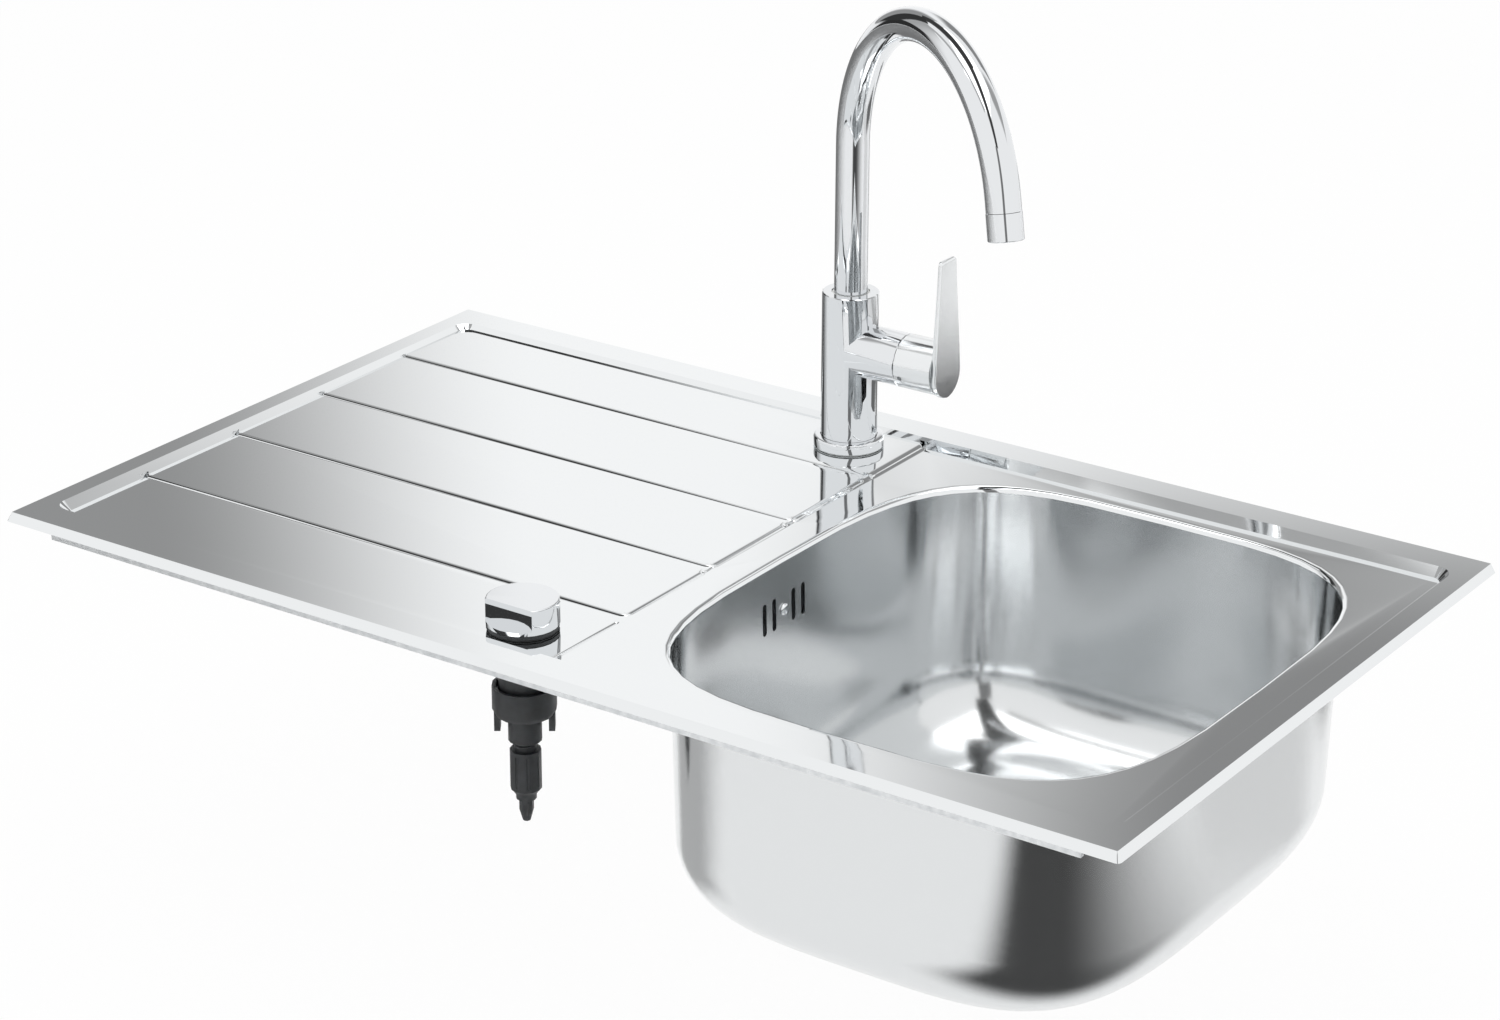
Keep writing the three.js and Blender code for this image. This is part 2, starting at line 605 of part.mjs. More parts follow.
// Plastic body under the bowl: a funnel with a hub on three ribs, a side inlet and a cable gland.
function wasteBody() {
  const w = waste;
  const { bodyTop, bodyLow, hubTop, outletLow } = wasteLevels;
  const inner = bodyRadius - w.bodyWall;
  const neck = w.outlet - w.bodyWall;
  const blank = solid(turned([
    [0, outletLow], [w.outlet, outletLow], [w.outlet, bodyLow],
    [bodyRadius - w.shoulder, bodyLow + w.cone - 3], [bodyRadius, bodyLow + w.cone + 3],
    [bodyRadius, bodyTop - w.collar], [flangeRadius, bodyTop - w.collar], [flangeRadius, bodyTop],
    [0, bodyTop],
  ], sides.plain));
  const cavity = turned([
    [0, outletLow - 1], [neck, outletLow - 1], [neck, bodyLow + w.bodyWall],
    [inner - w.shoulder, bodyLow + w.cone], [inner, bodyLow + w.cone + 4], [inner, bodyTop + 1],
    [0, bodyTop + 1],
  ], sides.plain);
  const hubLow = hubTop - w.hubLength;
  const ribs = [0, 1, 2].map((i) => {
    const rib = new THREE.BoxGeometry(bodyRadius, w.rib, w.hubLength - 2);
    rib.translate(bodyRadius / 2, 0, (hubTop + hubLow) / 2);
    return common(rib.rotateZ(rad(120 * i + 60)), blank);
  });
  const sideLevel = bodyTop - w.collar - w.side - 3;
  const inletEnd = -(bodyRadius + w.sideLength);
  const inlet = towardsX(disc(w.side, inletEnd, -inner + 0.4)).translate(0, 0, sideLevel);
  const inletBore = towardsX(disc(w.side - w.sideWall, inletEnd - 1, -cupRadius)).translate(0, 0, sideLevel);
  const glandLevel = bodyLow + w.cone + w.gland;
  const towardsKnob = Math.atan2(knobY, knobX - bowlX);
  const glandEnd = bodyRadius + w.glandLength;
  const gland = towardsX(disc(w.gland, inner, glandEnd, sides.small)).translate(0, 0, glandLevel);
  const glandBore = towardsX(disc(cable.bore, inner - 2, glandEnd + 1, sides.bore));
  glandBore.translate(0, 0, glandLevel);
  return cut(
    join(cut(blank, cavity), disc(w.hub, hubLow, hubTop), ...ribs, inlet, gland.rotateZ(towardsKnob)),
    disc(w.screw + gap, hubLow - 1, hubTop + 1), inletBore, glandBore.rotateZ(towardsKnob),
  );
}

function wastePieces() {
  const w = waste;
  const { cupLow, sealTop, sealUnder, screwTop, screwLow, pinTop } = wasteLevels;
  const sealRing = (high) =>
    tube(flangeRadius - 1, drain.hole + w.sealLap, high - w.sealThick, high, sides.plain);
  const screw = turned([
    [w.pin + gap, screwLow], [w.screw, screwLow], [w.screw, cupLow + gap], [w.screwHead, cupLow + gap],
    [w.screwHead, screwTop - 0.8], [w.screwHead - 0.8, screwTop], [w.pin + gap, screwTop],
  ]);
  const footTop = screwLow - gap - w.lift;
  const pin = turned([
    [0, footTop - w.pinFootHigh], [w.pinFoot, footTop - w.pinFootHigh], [w.pinFoot, footTop],
    [w.pin, footTop], [w.pin, pinTop - 4], [w.pin - 0.7, pinTop], [0, pinTop],
  ], sides.small);
  return [
    piece('waste_flange', wasteFlange(), 'polished'),
    piece('waste_flange_seal', sealRing(sealTop), 'rubber'),
    piece('waste_body_seal', sealRing(sealUnder), 'rubber'),
    piece('waste_body', wasteBody(), 'whitePlastic'),
    piece('waste_hollow_screw', screw, 'brass'),
    piece('lift_pin', pin, 'zinc'),
  ];
}

// Perforated basket with a gripping post, carried on the lift pin; its seal closes the cup's wall.
function strainerPieces() {
  const s = strainer;
  const { flangeTop, pinTop } = wasteLevels;
  const rimLow = flangeTop - s.sunk;
  const basketLow = rimLow - s.depth;
  const postTop = rimLow + s.postRise;
  const rimRadius = cupRadius - s.rimGap;
  const radius = cupRadius - s.basketInset;
  const basket = turned([
    [0, basketLow - s.wall], [radius - 4, basketLow - s.wall], [radius, basketLow + 2],
    [radius + 2, rimLow], [rimRadius, rimLow], [rimRadius, rimLow + s.wall],
    [radius + 1, rimLow + s.wall + 0.6], [radius - 1, rimLow], [radius - s.wall, basketLow + 2.5],
    [radius - 5, basketLow], [s.post, basketLow],
    [s.post, postTop - 4.5], [s.grip, postTop - 2.5], [s.grip, postTop - 1], [s.grip - 1, postTop],
    [0, postTop],
  ], sides.plain);
  const socket = disc(waste.pin + gap, basketLow - s.wall - 1, pinTop + gap, sides.bore);
  const hole = disc(s.hole, basketLow - 5, basketLow + 2, 6);
  const holes = s.rings.flatMap(([count, inset]) => around(count, radius - inset, hole));
  const sealHigh = rimLow - gap;
  const sealInner = radius + 2.4;
  const plugSeal = turned([
    [sealInner, sealHigh - s.seal], [cupRadius - gap, sealHigh - s.seal / 2], [cupRadius - gap, sealHigh],
    [sealInner, sealHigh],
  ], sides.plain);
  return [
    piece('strainer_plug', cut(basket, socket, ...holes), 'polished'),
    piece('strainer_seal', plugSeal, 'rubber'),
  ];
}

// Union nut that draws the tail pipe's collar and its washer against the outlet.
function outletPieces() {
  const t = tail;
  const washerHigh = wasteLevels.outletLow - gap;
  const collarHigh = washerHigh - t.washer - gap;
  const collarLow = collarHigh - t.collar;
  const nutFloor = collarLow - gap;
  const nutLow = nutFloor - t.nutFloor;
  const nutTop = nutLow + t.nutHeight;
  const neck = waste.outlet + gap;
  const nutOuter = waste.outlet + t.nutWall;
  const pipeRadius = waste.outlet - t.pipeStep;
  const nut = turned([
    [pipeRadius + gap, nutLow], [nutOuter - 2, nutLow], [nutOuter, nutLow + 2], [nutOuter, nutTop],
    [neck, nutTop], [neck, nutFloor], [pipeRadius + gap, nutFloor],
  ], sides.plain);
  const flute = disc(t.flute, nutLow - 1, nutTop + 1, 6);
  const bore = pipeRadius - t.pipeWall;
  const pipeLow = nutLow - t.length;
  const pipe = turned([
    [pipeRadius, pipeLow], [pipeRadius, collarLow], [waste.outlet - gap, collarLow],
    [waste.outlet - gap, collarHigh], [bore, collarHigh], [bore, pipeLow],
  ], sides.plain);
  return [
    piece('outlet_nut', cut(nut, ...around(t.grips, nutOuter + 0.8, flute)), 'whitePlastic'),
    piece('outlet_washer', tube(waste.outlet - gap, bore, washerHigh - t.washer, washerHigh), 'rubber'),
    piece('outlet_tail', pipe, 'whitePlastic'),
  ];
}

// ---------- waste control knob ----------
function knobBody() {
  const k = knob;
  const low = k.plinth + gap;
  const high = low + k.height;
  const beyond = 2 * k.radius;
  const behindFlat = (wall) => {
    const block = new THREE.BoxGeometry(2 * beyond, beyond, beyond);
    return block.translate(0, beyond / 2 - k.flat + wall, high - beyond / 2);
  };
  const blank = turned([
    [0, low], [k.radius, low], [k.radius, high - k.edge], [k.radius - 0.3 * k.edge, high - 0.3 * k.edge],
    [k.radius - k.edge, high], [0, high],
  ], sides.shown);
  const base = disc(k.radius, low, low + k.base, sides.shown);
  const hollow = tube(k.radius - k.shell, k.spindle + k.shell, low - 1, low + k.hollow);
  const bore = disc(k.spindle + gap, low - 1, low + k.bore, sides.bore);
  return cut(join(common(blank, behindFlat(0)), base), common(hollow, behindFlat(k.shell)), bore);
}

function knobPieces() {
  const k = knob;
  const c = cable;
  const bushBore = bushRadius - k.bushWall;
  const nutCorner = k.hole + k.nutLap;
  const flangeLow = k.seal + 2 * gap;
  const washerHigh = -sink.sheet - gap;
  const nutHigh = washerHigh - k.washer - gap;
  const bush = turned([
    [bushBore, -c.bushEnd], [bushRadius, -c.bushEnd], [bushRadius, flangeLow], [k.radius - 0.2, flangeLow],
    [k.radius - 0.2, k.plinth], [bushBore, k.plinth],
  ], sides.plain);
  const nutBore = disc(bushRadius + gap, -nutCorner, nutCorner, sides.plain);
  const nut = cut(prism(circle(nutCorner, 6), nutHigh - k.nutHeight, nutHigh), nutBore);
  const drumLow = -c.cupBottom + c.cupFloor + gap;
  const drum = bushBore - 3;
  const spindleTop = k.plinth + k.bore;
  const spindle = turned([
    [0, drumLow], [drum, drumLow], [drum, drumLow + k.drum], [k.spindle, drumLow + k.drum], [k.spindle, -4],
    [bushBore - gap, -4], [bushBore - gap, -1], [k.spindle, -1], [k.spindle, spindleTop], [0, spindleTop],
  ], sides.small);
  const washer = tube(nutCorner - 1, bushRadius + gap, washerHigh - k.washer, washerHigh, sides.plain);
  return [
    piece('knob_seal', tube(k.radius - 0.8, bushRadius + gap, gap, gap + k.seal, sides.plain), 'rubber'),
    piece('waste_knob', knobBody(), 'chrome'),
    piece('knob_bush', bush, 'blackPlastic'),
    piece('knob_washer', washer, 'rubber'),
    piece('knob_nut', nut, 'blackPlastic'),
    piece('knob_spindle', spindle, 'zinc'),
  ];
}

// Cup that clips over the bush, ribbed adjuster below it and the nozzle the cable would leave by.
function cablePieces() {
  const c = cable;
  const inner = cableCup - c.cupWall;
  const cupFloor = -c.cupBottom + c.cupFloor;
  const clip = bushRadius + gap;
  const cup = turned([
    [c.bore, -c.neckEnd], [c.neckLow, -c.neckEnd], [c.neckTop, -c.neckEnd + 3], [c.neckTop, -c.cupBottom - 2],
    [cableCup - 2, -c.cupBottom - 2], [cableCup, -c.cupBottom + 2], [cableCup, -c.cupTop], [inner, -c.cupTop],
    [inner, -c.clipTop], [clip, -c.clipTop], [clip, -c.clipLow], [inner, -c.clipLow],
    [inner, cupFloor], [c.bore, cupFloor],
  ], sides.plain);
  const tabs = [0, 1].map((side) => {
    const tab = new THREE.BoxGeometry(c.tabThick, c.tabWidth, c.tabDrop + 4);
    tab.translate(cableCup - c.tabInset - c.tabThick / 2, 0, -c.cupBottom - c.tabDrop / 2 + 1);
    return tab.rotateZ(rad(c.tabTurn + 180 * side));
  });
  const adjuster = turned([
    [c.bore, -c.taperEnd], [c.nozzle + 2, -c.taperEnd], [c.nozzle + 2, -c.sleeveEnd - 3],
    [c.sleeve - 1.5, -c.sleeveEnd], [c.sleeve, -c.sleeveEnd + 1.5], [c.sleeve, -c.sleeveTop],
    [c.neckLow, -c.sleeveTop], [c.neckLow, -c.neckEnd - gap], [c.bore, -c.neckEnd - gap],
  ]);
  const channel = disc(c.ribDepth, -c.sleeveEnd + 4, -c.sleeveTop - 3, 6);
  const nozzle = turned([
    [c.bore, -c.nozzleEnd], [c.nozzleTip, -c.nozzleEnd], [c.nozzle, -c.nozzleEnd + 8],
    [c.nozzle, -c.taperEnd - gap], [c.bore, -c.taperEnd - gap],
  ], sides.small);
  return [
    piece('cable_coupling', join(cup, ...tabs), 'blackPlastic'),
    piece('cable_adjuster', cut(adjuster, ...around(c.ribs, c.sleeve, channel)), 'blackPlastic'),
    piece('cable_nozzle', nozzle, 'blackPlastic'),
  ];
}

// ---------- tap ----------
const tapFloor = tap.gasket + 2 * gap;
const pivotX = tap.seam - cartridge.pivotInset;                    // the stem tips about this point
const domeRadius = Math.hypot(tap.side, cartridge.pivotInset);
const cartridgeEnd = pivotX + gap;

function tapBody() {
  const upright = turned([
    [0, tapFloor], [tapRadius, tapFloor], [tapRadius, tap.top - 0.6], [tapRadius - 0.6, tap.top],
    [0, tap.top],
  ], sides.shown);
  const arm = turned([
    [0, 0], [tap.side, 0], [tap.side, tap.seam - 0.4], [tap.side - 0.4, tap.seam], [0, tap.seam],
  ], sides.shown);
  const chamberStart = cartridgeEnd - cartridge.length - tap.chamber;
  const chamber = disc(cartridgeRadius + gap, chamberStart, tap.seam + 1, sides.plain);
  const nutSeat = disc(nutRadius + gap, cartridgeEnd - gap, tap.seam + 1, sides.plain);
  const alongArm = (shape) => towardsX(shape).translate(0, 0, tap.sideHeight);
  const boreLow = tap.top - spout.root - tap.boreRoom;
  const riser = disc(tap.riser, tap.sideHeight, boreLow + 1, sides.bore);
  riser.translate(chamberStart + tap.riser, 0, 0);
  const stud = disc(mount.stud + gap, 0, tapFloor + mount.grip, sides.small).translate(-studOffset, 0, 0);
  const ports = [-1, 1].map((side) =>
    disc(tap.port, 0, tapFloor + tap.portDepth, sides.small).translate(tap.portX, side * tap.portOffset, 0));
  return cut(
    join(upright, alongArm(arm)),
    disc(spoutBore, boreLow, tap.top + 1, sides.plain), alongArm(chamber), alongArm(nutSeat),
    riser, stud, ...ports,
  );
}

function tapFoot() {
  const { baseHeight, baseRound } = tap;
  const gasketTop = gap + tap.gasket;
  const ringLow = gasketTop + gap;
  const ringTop = ringLow + baseHeight;
  const ring = turned([
    [tapRadius + gap, ringLow], [baseRadius, ringLow], [baseRadius, ringTop - baseRound],
    [baseRadius - 0.3 * baseRound, ringTop - 0.3 * baseRound], [baseRadius - baseRound, ringTop],
    [tapRadius + gap, ringTop],
  ], sides.shown);
  return [
    piece('tap_base_gasket', tube(baseRadius - 0.6, tap.hole + gap, gap, gasketTop, sides.plain), 'rubber'),
    piece('tap_base_ring', ring, 'chrome'),
  ];
}

// Under the deck: a horseshoe washer and plate drawn up by one stud and its nut.
function tapClamp() {
  const m = mount;
  const plate = tap.hole + m.plateLap;
  const horseshoe = (thick, high) => {
    const notch = new THREE.BoxGeometry(plate + 2, plate, 4 * thick).translate(plate / 2 - 1, 0, high);
    const hole = disc(m.stud + gap, high - 2 * thick, high + thick, sides.small).translate(-studOffset, 0, 0);
    return cut(disc(plate, high - thick, high, sides.plain), notch, hole);
  };
  const rubberHigh = -sink.sheet - gap;
  const plateHigh = rubberHigh - m.rubber - gap;
  const nutHigh = plateHigh - m.plateThick - gap;
  const nutBore = disc(m.stud + gap, -m.studLength, 0, sides.small);
  const nut = cut(prism(circle(m.nut, 6), nutHigh - m.nutHeight, nutHigh), nutBore);
  const studHigh = tapFloor + m.grip - gap;
  const stud = disc(m.stud, studHigh - m.studLength, studHigh, sides.small);
  return [
    piece('tap_rubber_washer', horseshoe(m.rubber, rubberHigh), 'rubber'),
    piece('tap_clamp_plate', horseshoe(m.plateThick, plateHigh), 'zinc'),
    piece('tap_nut', nut.translate([-studOffset, 0, 0]), 'brass'),
    piece('tap_stud', stud.translate(-studOffset, 0, 0), 'brass'),
  ];
}

// Stations of the spout's centre line: distance out, height and lean from upright.
function spoutStations(steps) {
  const stations = [{ out: 0, up: tap.top - spout.root, lean: 0 }, { out: 0, up: spout.bendStart, lean: 0 }];
  for (let i = 1; i <= steps; i += 1) {
    const lean = (rad(spout.sweep) * i) / steps;
    const out = spout.bend * (1 - Math.cos(lean));
    stations.push({ out, up: spout.bendStart + spout.bend * Math.sin(lean), lean });
  }
  return stations;
}

const alongSpout = (from, distance) => ({
  out: from.out + distance * Math.sin(from.lean),
  up: from.up + distance * Math.cos(from.lean),
  lean: from.lean,
});

const spoutRing = ({ out, up, lean }, radius, facets) => {
  const point = (p) => new THREE.Vector3(out + p.x * Math.cos(lean), p.y, up - p.x * Math.sin(lean));
  return circle(radius, facets).map(point);
};

function spoutPieces() {
  const s = spout;
  const bendEnd = spoutStations(1)[2];
  const bore = s.radius - s.wall;
  const pipeEnd = alongSpout(bendEnd, s.endStraight - s.sleeve);
  const sweep = (radius, facets, beyond) => {
    const [root, ...rest] = spoutStations(s.steps);
    const line = [alongSpout(root, -beyond), ...rest, alongSpout(pipeEnd, beyond)];
    return skin(line.map((station) => spoutRing(station, radius, facets)));
  };
  const pipe = cut(sweep(s.radius, s.sides, 0), sweep(bore, sides.bore, 1));
  const from = s.endStraight - s.sleeve + gap;
  const tip = s.endStraight;
  const ringAt = ([distance, radius]) => spoutRing(alongSpout(bendEnd, distance), radius, s.sides);
  const loopAt = (...profile) => skin(profile.map(ringAt), true);
  const sleeveRadius = s.radius + s.sleeveStep;
  const sleeve = loopAt(
    [from, sleeveRadius], [tip - 0.8, sleeveRadius], [tip, sleeveRadius - 0.8], [tip, bore], [from, bore],
  );
  const insertRadius = bore - gap;
  const insertLip = insertRadius - 1.6;
  const core = loopAt(
    [tip - s.insert, insertRadius], [tip - 1, insertRadius], [tip - 1, insertLip], [tip - 2.4, insertLip],
    [tip - 2.4, s.insertBore], [tip - s.insert, s.insertBore],
  );
  const guide = (low, high) => tube(spoutBore - gap, s.radius + gap, low, high, sides.plain);
  const rootLow = tap.top - s.root;
  const group = new THREE.Group();
  group.rotation.z = rad(s.swing);
  group.add(
    piece('spout', pipe, 'chrome'),
    piece('aerator_sleeve', sleeve, 'chrome'),
    piece('aerator_insert', core, 'greyPlastic'),
    piece('spout_lower_guide', guide(rootLow + 1, rootLow + 6), 'whitePlastic'),
    piece('spout_upper_guide', guide(tap.top - 7, tap.top - 0.6), 'whitePlastic'),
  );
  return group;
}

// ---------- cartridge and lever ----------
// Points of a sphere about the stem's pivot, as [radius, distance along the arm].
function ballArc(radius, from, to, steps) {
  return Array.from({ length: steps + 1 }, (_, i) => {
    const angle = from + ((to - from) * i) / steps;
    return [Math.max(radius * Math.sin(angle), 0), pivotX + radius * Math.cos(angle)];
  });
}

function domeCap() {
  const start = cartridge.pivotInset + gap;
  const outer = domeRadius;
  const inner = domeRadius - cartridge.domeWall;
  const hole = cartridge.domeHole;
  return turned([
    ...ballArc(outer, Math.acos(start / outer), Math.asin(hole / outer), 4),
    ...ballArc(inner, Math.asin(hole / inner), Math.acos(start / inner), 2),
  ], sides.plain);
}

function cartridgePieces() {
  const c = cartridge;
  const low = cartridgeEnd - c.length;
  const carrierLow = cartridgeEnd + gap;
  const body = turned([
    [0, low], [cartridgeRadius - 1, low], [cartridgeRadius, low + 1], [cartridgeRadius, cartridgeEnd],
    [0, cartridgeEnd],
  ], sides.plain);
  const carrier = disc(c.carrier, carrierLow, carrierLow + c.carrierLength);
  const nut = tube(nutRadius, c.carrier + gap, carrierLow, tap.seam - gap, sides.plain);
  return [
    piece('cartridge', towardsX(body), 'whitePlastic'),
    piece('cartridge_carrier', towardsX(carrier), 'greyPlastic'),
    piece('cartridge_nut', towardsX(nut), 'brass'),
    piece('dome_cap', towardsX(domeCap()), 'chrome'),
  ];
}

// The blade stands on the hub's end: a rounded foot, then sides that draw in towards the top.
function blade() {
  const rings = [];
  const ring = (z, half, thick) => {
    const outline = roundedRect(thick / 2, half, Math.min(thick / 2, half) * 0.55, 2);
    rings.push(level(shiftBy(outline, leverEnd + thick / 2 - 0.2, 0), z));
  };
  const { topHalf, bladeThick, topThick, footSteps, sideSteps } = lever;
  const half = tap.side - lever.bladeInset;
  const footCentre = half - tap.side - lever.footDrop;
  for (let i = 0; i < footSteps; i += 1) {
    const angle = rad(8 + (82 * i) / footSteps);
    ring(footCentre - half * Math.cos(angle), half * Math.sin(angle), bladeThick);
  }
  for (let i = 0; i <= sideSteps; i += 1) {
    const s = i / sideSteps;
    const drawn = THREE.MathUtils.lerp(s, THREE.MathUtils.smoothstep(s, 0, 1), 0.4);
    const z = THREE.MathUtils.lerp(footCentre, lever.above - 2, s);
    ring(z, THREE.MathUtils.lerp(half, topHalf, drawn), THREE.MathUtils.lerp(bladeThick, topThick, s));
  }
  ring(lever.above - 0.6, topHalf - 0.8, topThick - 0.4);
  ring(lever.above, topHalf - 2.2, topThick - 1.2);
  return skin(rings);
}

function leverPieces() {
  const l = lever;
  const ball = domeRadius + l.ballGap;
  const rim = cartridge.pivotInset - 1;
  const socket = turned([[0, pivotX + rim], ...ballArc(ball, Math.acos(rim / ball), 0, 4)], sides.plain);
  const hub = disc(tap.side, tap.seam + 0.4, leverEnd, sides.shown);
  const stemEnd = leverEnd - l.socketWall;
  const stemHole = disc(cartridge.stem + gap, tap.seam, stemEnd, sides.small);
  const screwX = leverEnd - l.screwInset;
  const screwHole = disc(l.screw + gap, -tap.side - 1, 0, sides.bore).translate(screwX, 0, 0);
  const stem = disc(cartridge.stem, pivotX + cartridge.stemStart, stemEnd - gap, sides.small);
  const screw = disc(l.screw, l.screwSunk - tap.side, -cartridge.stem - gap, sides.bore);
  const pocket = (radius, from, to) =>
    disc(radius, from, to, sides.bore).rotateX(rad(-l.markerTurn)).translate(tap.seam + l.markerInset, 0, 0);
  const markerSeat = pocket(l.marker + gap, -tap.side - 1, l.markerDepth + gap - tap.side);
  const marker = pocket(l.marker, -tap.side, l.markerDepth - tap.side);
  const blank = join(towardsX(hub), blade());
  const handle = cut(blank, towardsX(socket), towardsX(stemHole), screwHole, markerSeat);
  return [
    piece('tap_lever', handle, 'chrome'),
    piece('lever_stem', towardsX(stem), 'zinc'),
    piece('lever_screw', screw.translate(screwX, 0, 0), 'zinc'),
    piece('lever_marker', marker, 'greyPlastic'),
  ];
}

// ---------- the whole ----------
const kitchenSink = new THREE.Group();
kitchenSink.add(
  piece('sink_deck', sinkDeck(), 'polished'),
  piece('sink_bowl', sinkBowl(), 'satin'),
  piece('rim_seal', rimSeal(), 'foam'),
  ...rails(),
  overflowPieces(),
  place(bowlX, 0, 0, ...wastePieces(), ...strainerPieces(), ...outletPieces()),
  place(knobX, knobY, deckLevel, ...knobPieces(), ...cablePieces()),
  place(
    tapX, tapY, panelLevel(0),
    piece('tap_body', tapBody(), 'chrome'),
    ...tapFoot(),
    ...tapClamp(),
    spoutPieces(),
    place(0, 0, tap.sideHeight, ...cartridgePieces(), ...leverPieces()),
  ),
);

export default kitchenSink;
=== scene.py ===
import json
import math
import bpy
import bmesh
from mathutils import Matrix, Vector


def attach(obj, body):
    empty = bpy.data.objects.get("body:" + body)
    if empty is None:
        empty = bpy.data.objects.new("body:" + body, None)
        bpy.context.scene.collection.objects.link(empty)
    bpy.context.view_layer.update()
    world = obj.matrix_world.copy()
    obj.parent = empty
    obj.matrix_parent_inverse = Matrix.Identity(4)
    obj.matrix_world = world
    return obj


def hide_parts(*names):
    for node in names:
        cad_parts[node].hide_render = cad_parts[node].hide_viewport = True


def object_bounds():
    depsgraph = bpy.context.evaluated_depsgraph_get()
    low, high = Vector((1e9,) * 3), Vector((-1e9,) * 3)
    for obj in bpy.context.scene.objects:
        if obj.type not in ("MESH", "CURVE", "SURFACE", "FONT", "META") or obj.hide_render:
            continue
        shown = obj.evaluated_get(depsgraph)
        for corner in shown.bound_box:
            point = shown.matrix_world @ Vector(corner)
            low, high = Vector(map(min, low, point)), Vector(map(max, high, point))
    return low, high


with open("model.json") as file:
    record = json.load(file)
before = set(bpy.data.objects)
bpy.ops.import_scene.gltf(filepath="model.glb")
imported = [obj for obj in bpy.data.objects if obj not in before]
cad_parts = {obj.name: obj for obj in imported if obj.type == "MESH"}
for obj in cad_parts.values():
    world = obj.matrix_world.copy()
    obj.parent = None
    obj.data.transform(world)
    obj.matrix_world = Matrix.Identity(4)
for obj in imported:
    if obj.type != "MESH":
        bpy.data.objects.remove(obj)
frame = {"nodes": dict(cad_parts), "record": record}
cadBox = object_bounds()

mm = 0.001                      # the scene is in metres, the sizes below are millimetres


def linear(hexColour):
    # sRGB hex to the linear colour that a socket takes
    def one(text):
        value = int(text, 16) / 255
        return value / 12.92 if value <= 0.04045 else ((value + 0.055) / 1.055) ** 2.4
    text = hexColour.lstrip("#")
    return (one(text[0:2]), one(text[2:4]), one(text[4:6]), 1.0)


def addNode(tree, kind, inputs=None, **settings):
    # inputs: socket name or number -> a value, or another node's output to link
    node = tree.nodes.new(kind)
    for name, value in settings.items():
        setattr(node, name, value)
    for socket, value in (inputs or {}).items():
        if isinstance(value, bpy.types.NodeSocket):
            tree.links.new(value, node.inputs[socket])
        else:
            node.inputs[socket].default_value = value
    return node


def startMaterial(name, sockets):
    # a principled material whose uniform values sit on the shader itself
    material = bpy.data.materials.new(name)
    material.use_nodes = True
    tree = material.node_tree
    shader = tree.nodes["Principled BSDF"]
    for socket, value in sockets.items():
        shader.inputs[socket].default_value = value
    return material, tree, shader


camera = {
    "azimuth": 34.4917, "elevation": 22.6933, "roll": 0.2477,       # degrees
    "lens": 93.56, "sensor": 36.0,                                   # mm
    "place": (1354.05, -1960.79, 1022.38),                           # mm in the part's frame
    "reach": 100,                                                    # metres that it sees
}


def makeCamera():
    data = bpy.data.cameras.new("camera")
    data.sensor_width = camera["sensor"]
    data.lens = camera["lens"]
    data.clip_end = camera["reach"]
    seen = bpy.data.objects.new("camera", data)
    bpy.context.scene.collection.objects.link(seen)
    seen.location = [v * mm for v in camera["place"]]
    azimuth = math.radians(camera["azimuth"])
    elevation = math.radians(camera["elevation"])
    backward = Vector((
        math.sin(azimuth) * math.cos(elevation),
        -math.cos(azimuth) * math.cos(elevation),
        math.sin(elevation),
    ))
    seen.rotation_euler = backward.to_track_quat("Z", "Y").to_euler()
    seen.rotation_euler.rotate_axis("Z", math.radians(camera["roll"]))
    bpy.context.scene.camera = seen
    bpy.context.scene.view_settings.view_transform = "Standard"


makeCamera()
print("camera set")


mirrorSheet = {
    "colour": "#eceeef", "roughness": (0.03, 0.06),
    "ripple": 110, "rippleDepth": 0.03,             # mm between the waves of the sheet, and height
    "hairline": 0.5, "hairlineLength": 40,          # mm, drawn coarser than real so that it shows
    "hairlineDepth": 0.0006,
    "smears": 22, "smearRange": (0.35, 0.7),        # wiped patches to the metre, and their edges
}


def mirrorStainless():
    # rolled stainless sheet, mirror polished: clear reflections that swim a little where the sheet
    # ripples, and fine hairlines from wiping that only soften the highlights
    v = mirrorSheet
    material, tree, shader = startMaterial("mirrorStainless", {
        "Base Color": linear(v["colour"]), "Metallic": 1.0,
    })
    coords = addNode(tree, "ShaderNodeTexCoord")
    wave = addNode(tree, "ShaderNodeTexNoise", {
        "Vector": coords.outputs["Object"], "Scale": 1 / (v["ripple"] * mm), "Detail": 1.0,
    })
    fine = 1 / (v["hairline"] * mm)
    along = addNode(tree, "ShaderNodeMapping", {
        "Vector": coords.outputs["Object"], "Scale": (1 / (v["hairlineLength"] * mm), fine, fine),
    })
    hair = addNode(tree, "ShaderNodeTexNoise", {
        "Vector": along.outputs["Vector"], "Scale": 1.0, "Detail": 2.0, "Distortion": 0.4,
    })
    smear = addNode(tree, "ShaderNodeTexNoise", {
        "Vector": coords.outputs["Object"], "Scale": v["smears"], "Detail": 4.0, "Roughness": 0.6,
    })
    gloss = addNode(tree, "ShaderNodeMapRange", {
        "Value": smear.outputs["Fac"],
        "From Min": v["smearRange"][0], "From Max": v["smearRange"][1],
        "To Min": v["roughness"][0], "To Max": v["roughness"][1],
    })
    tree.links.new(gloss.outputs["Result"], shader.inputs["Roughness"])
    rolled = addNode(tree, "ShaderNodeBump", {
        "Height": wave.outputs["Fac"], "Distance": v["rippleDepth"] * mm, "Strength": 1.0,
    })
    wiped = addNode(tree, "ShaderNodeBump", {
        "Height": hair.outputs["Fac"], "Distance": v["hairlineDepth"] * mm, "Strength": 1.0,
        "Normal": rolled.outputs["Normal"],
    })
    tree.links.new(wiped.outputs["Normal"], shader.inputs["Normal"])
    return material


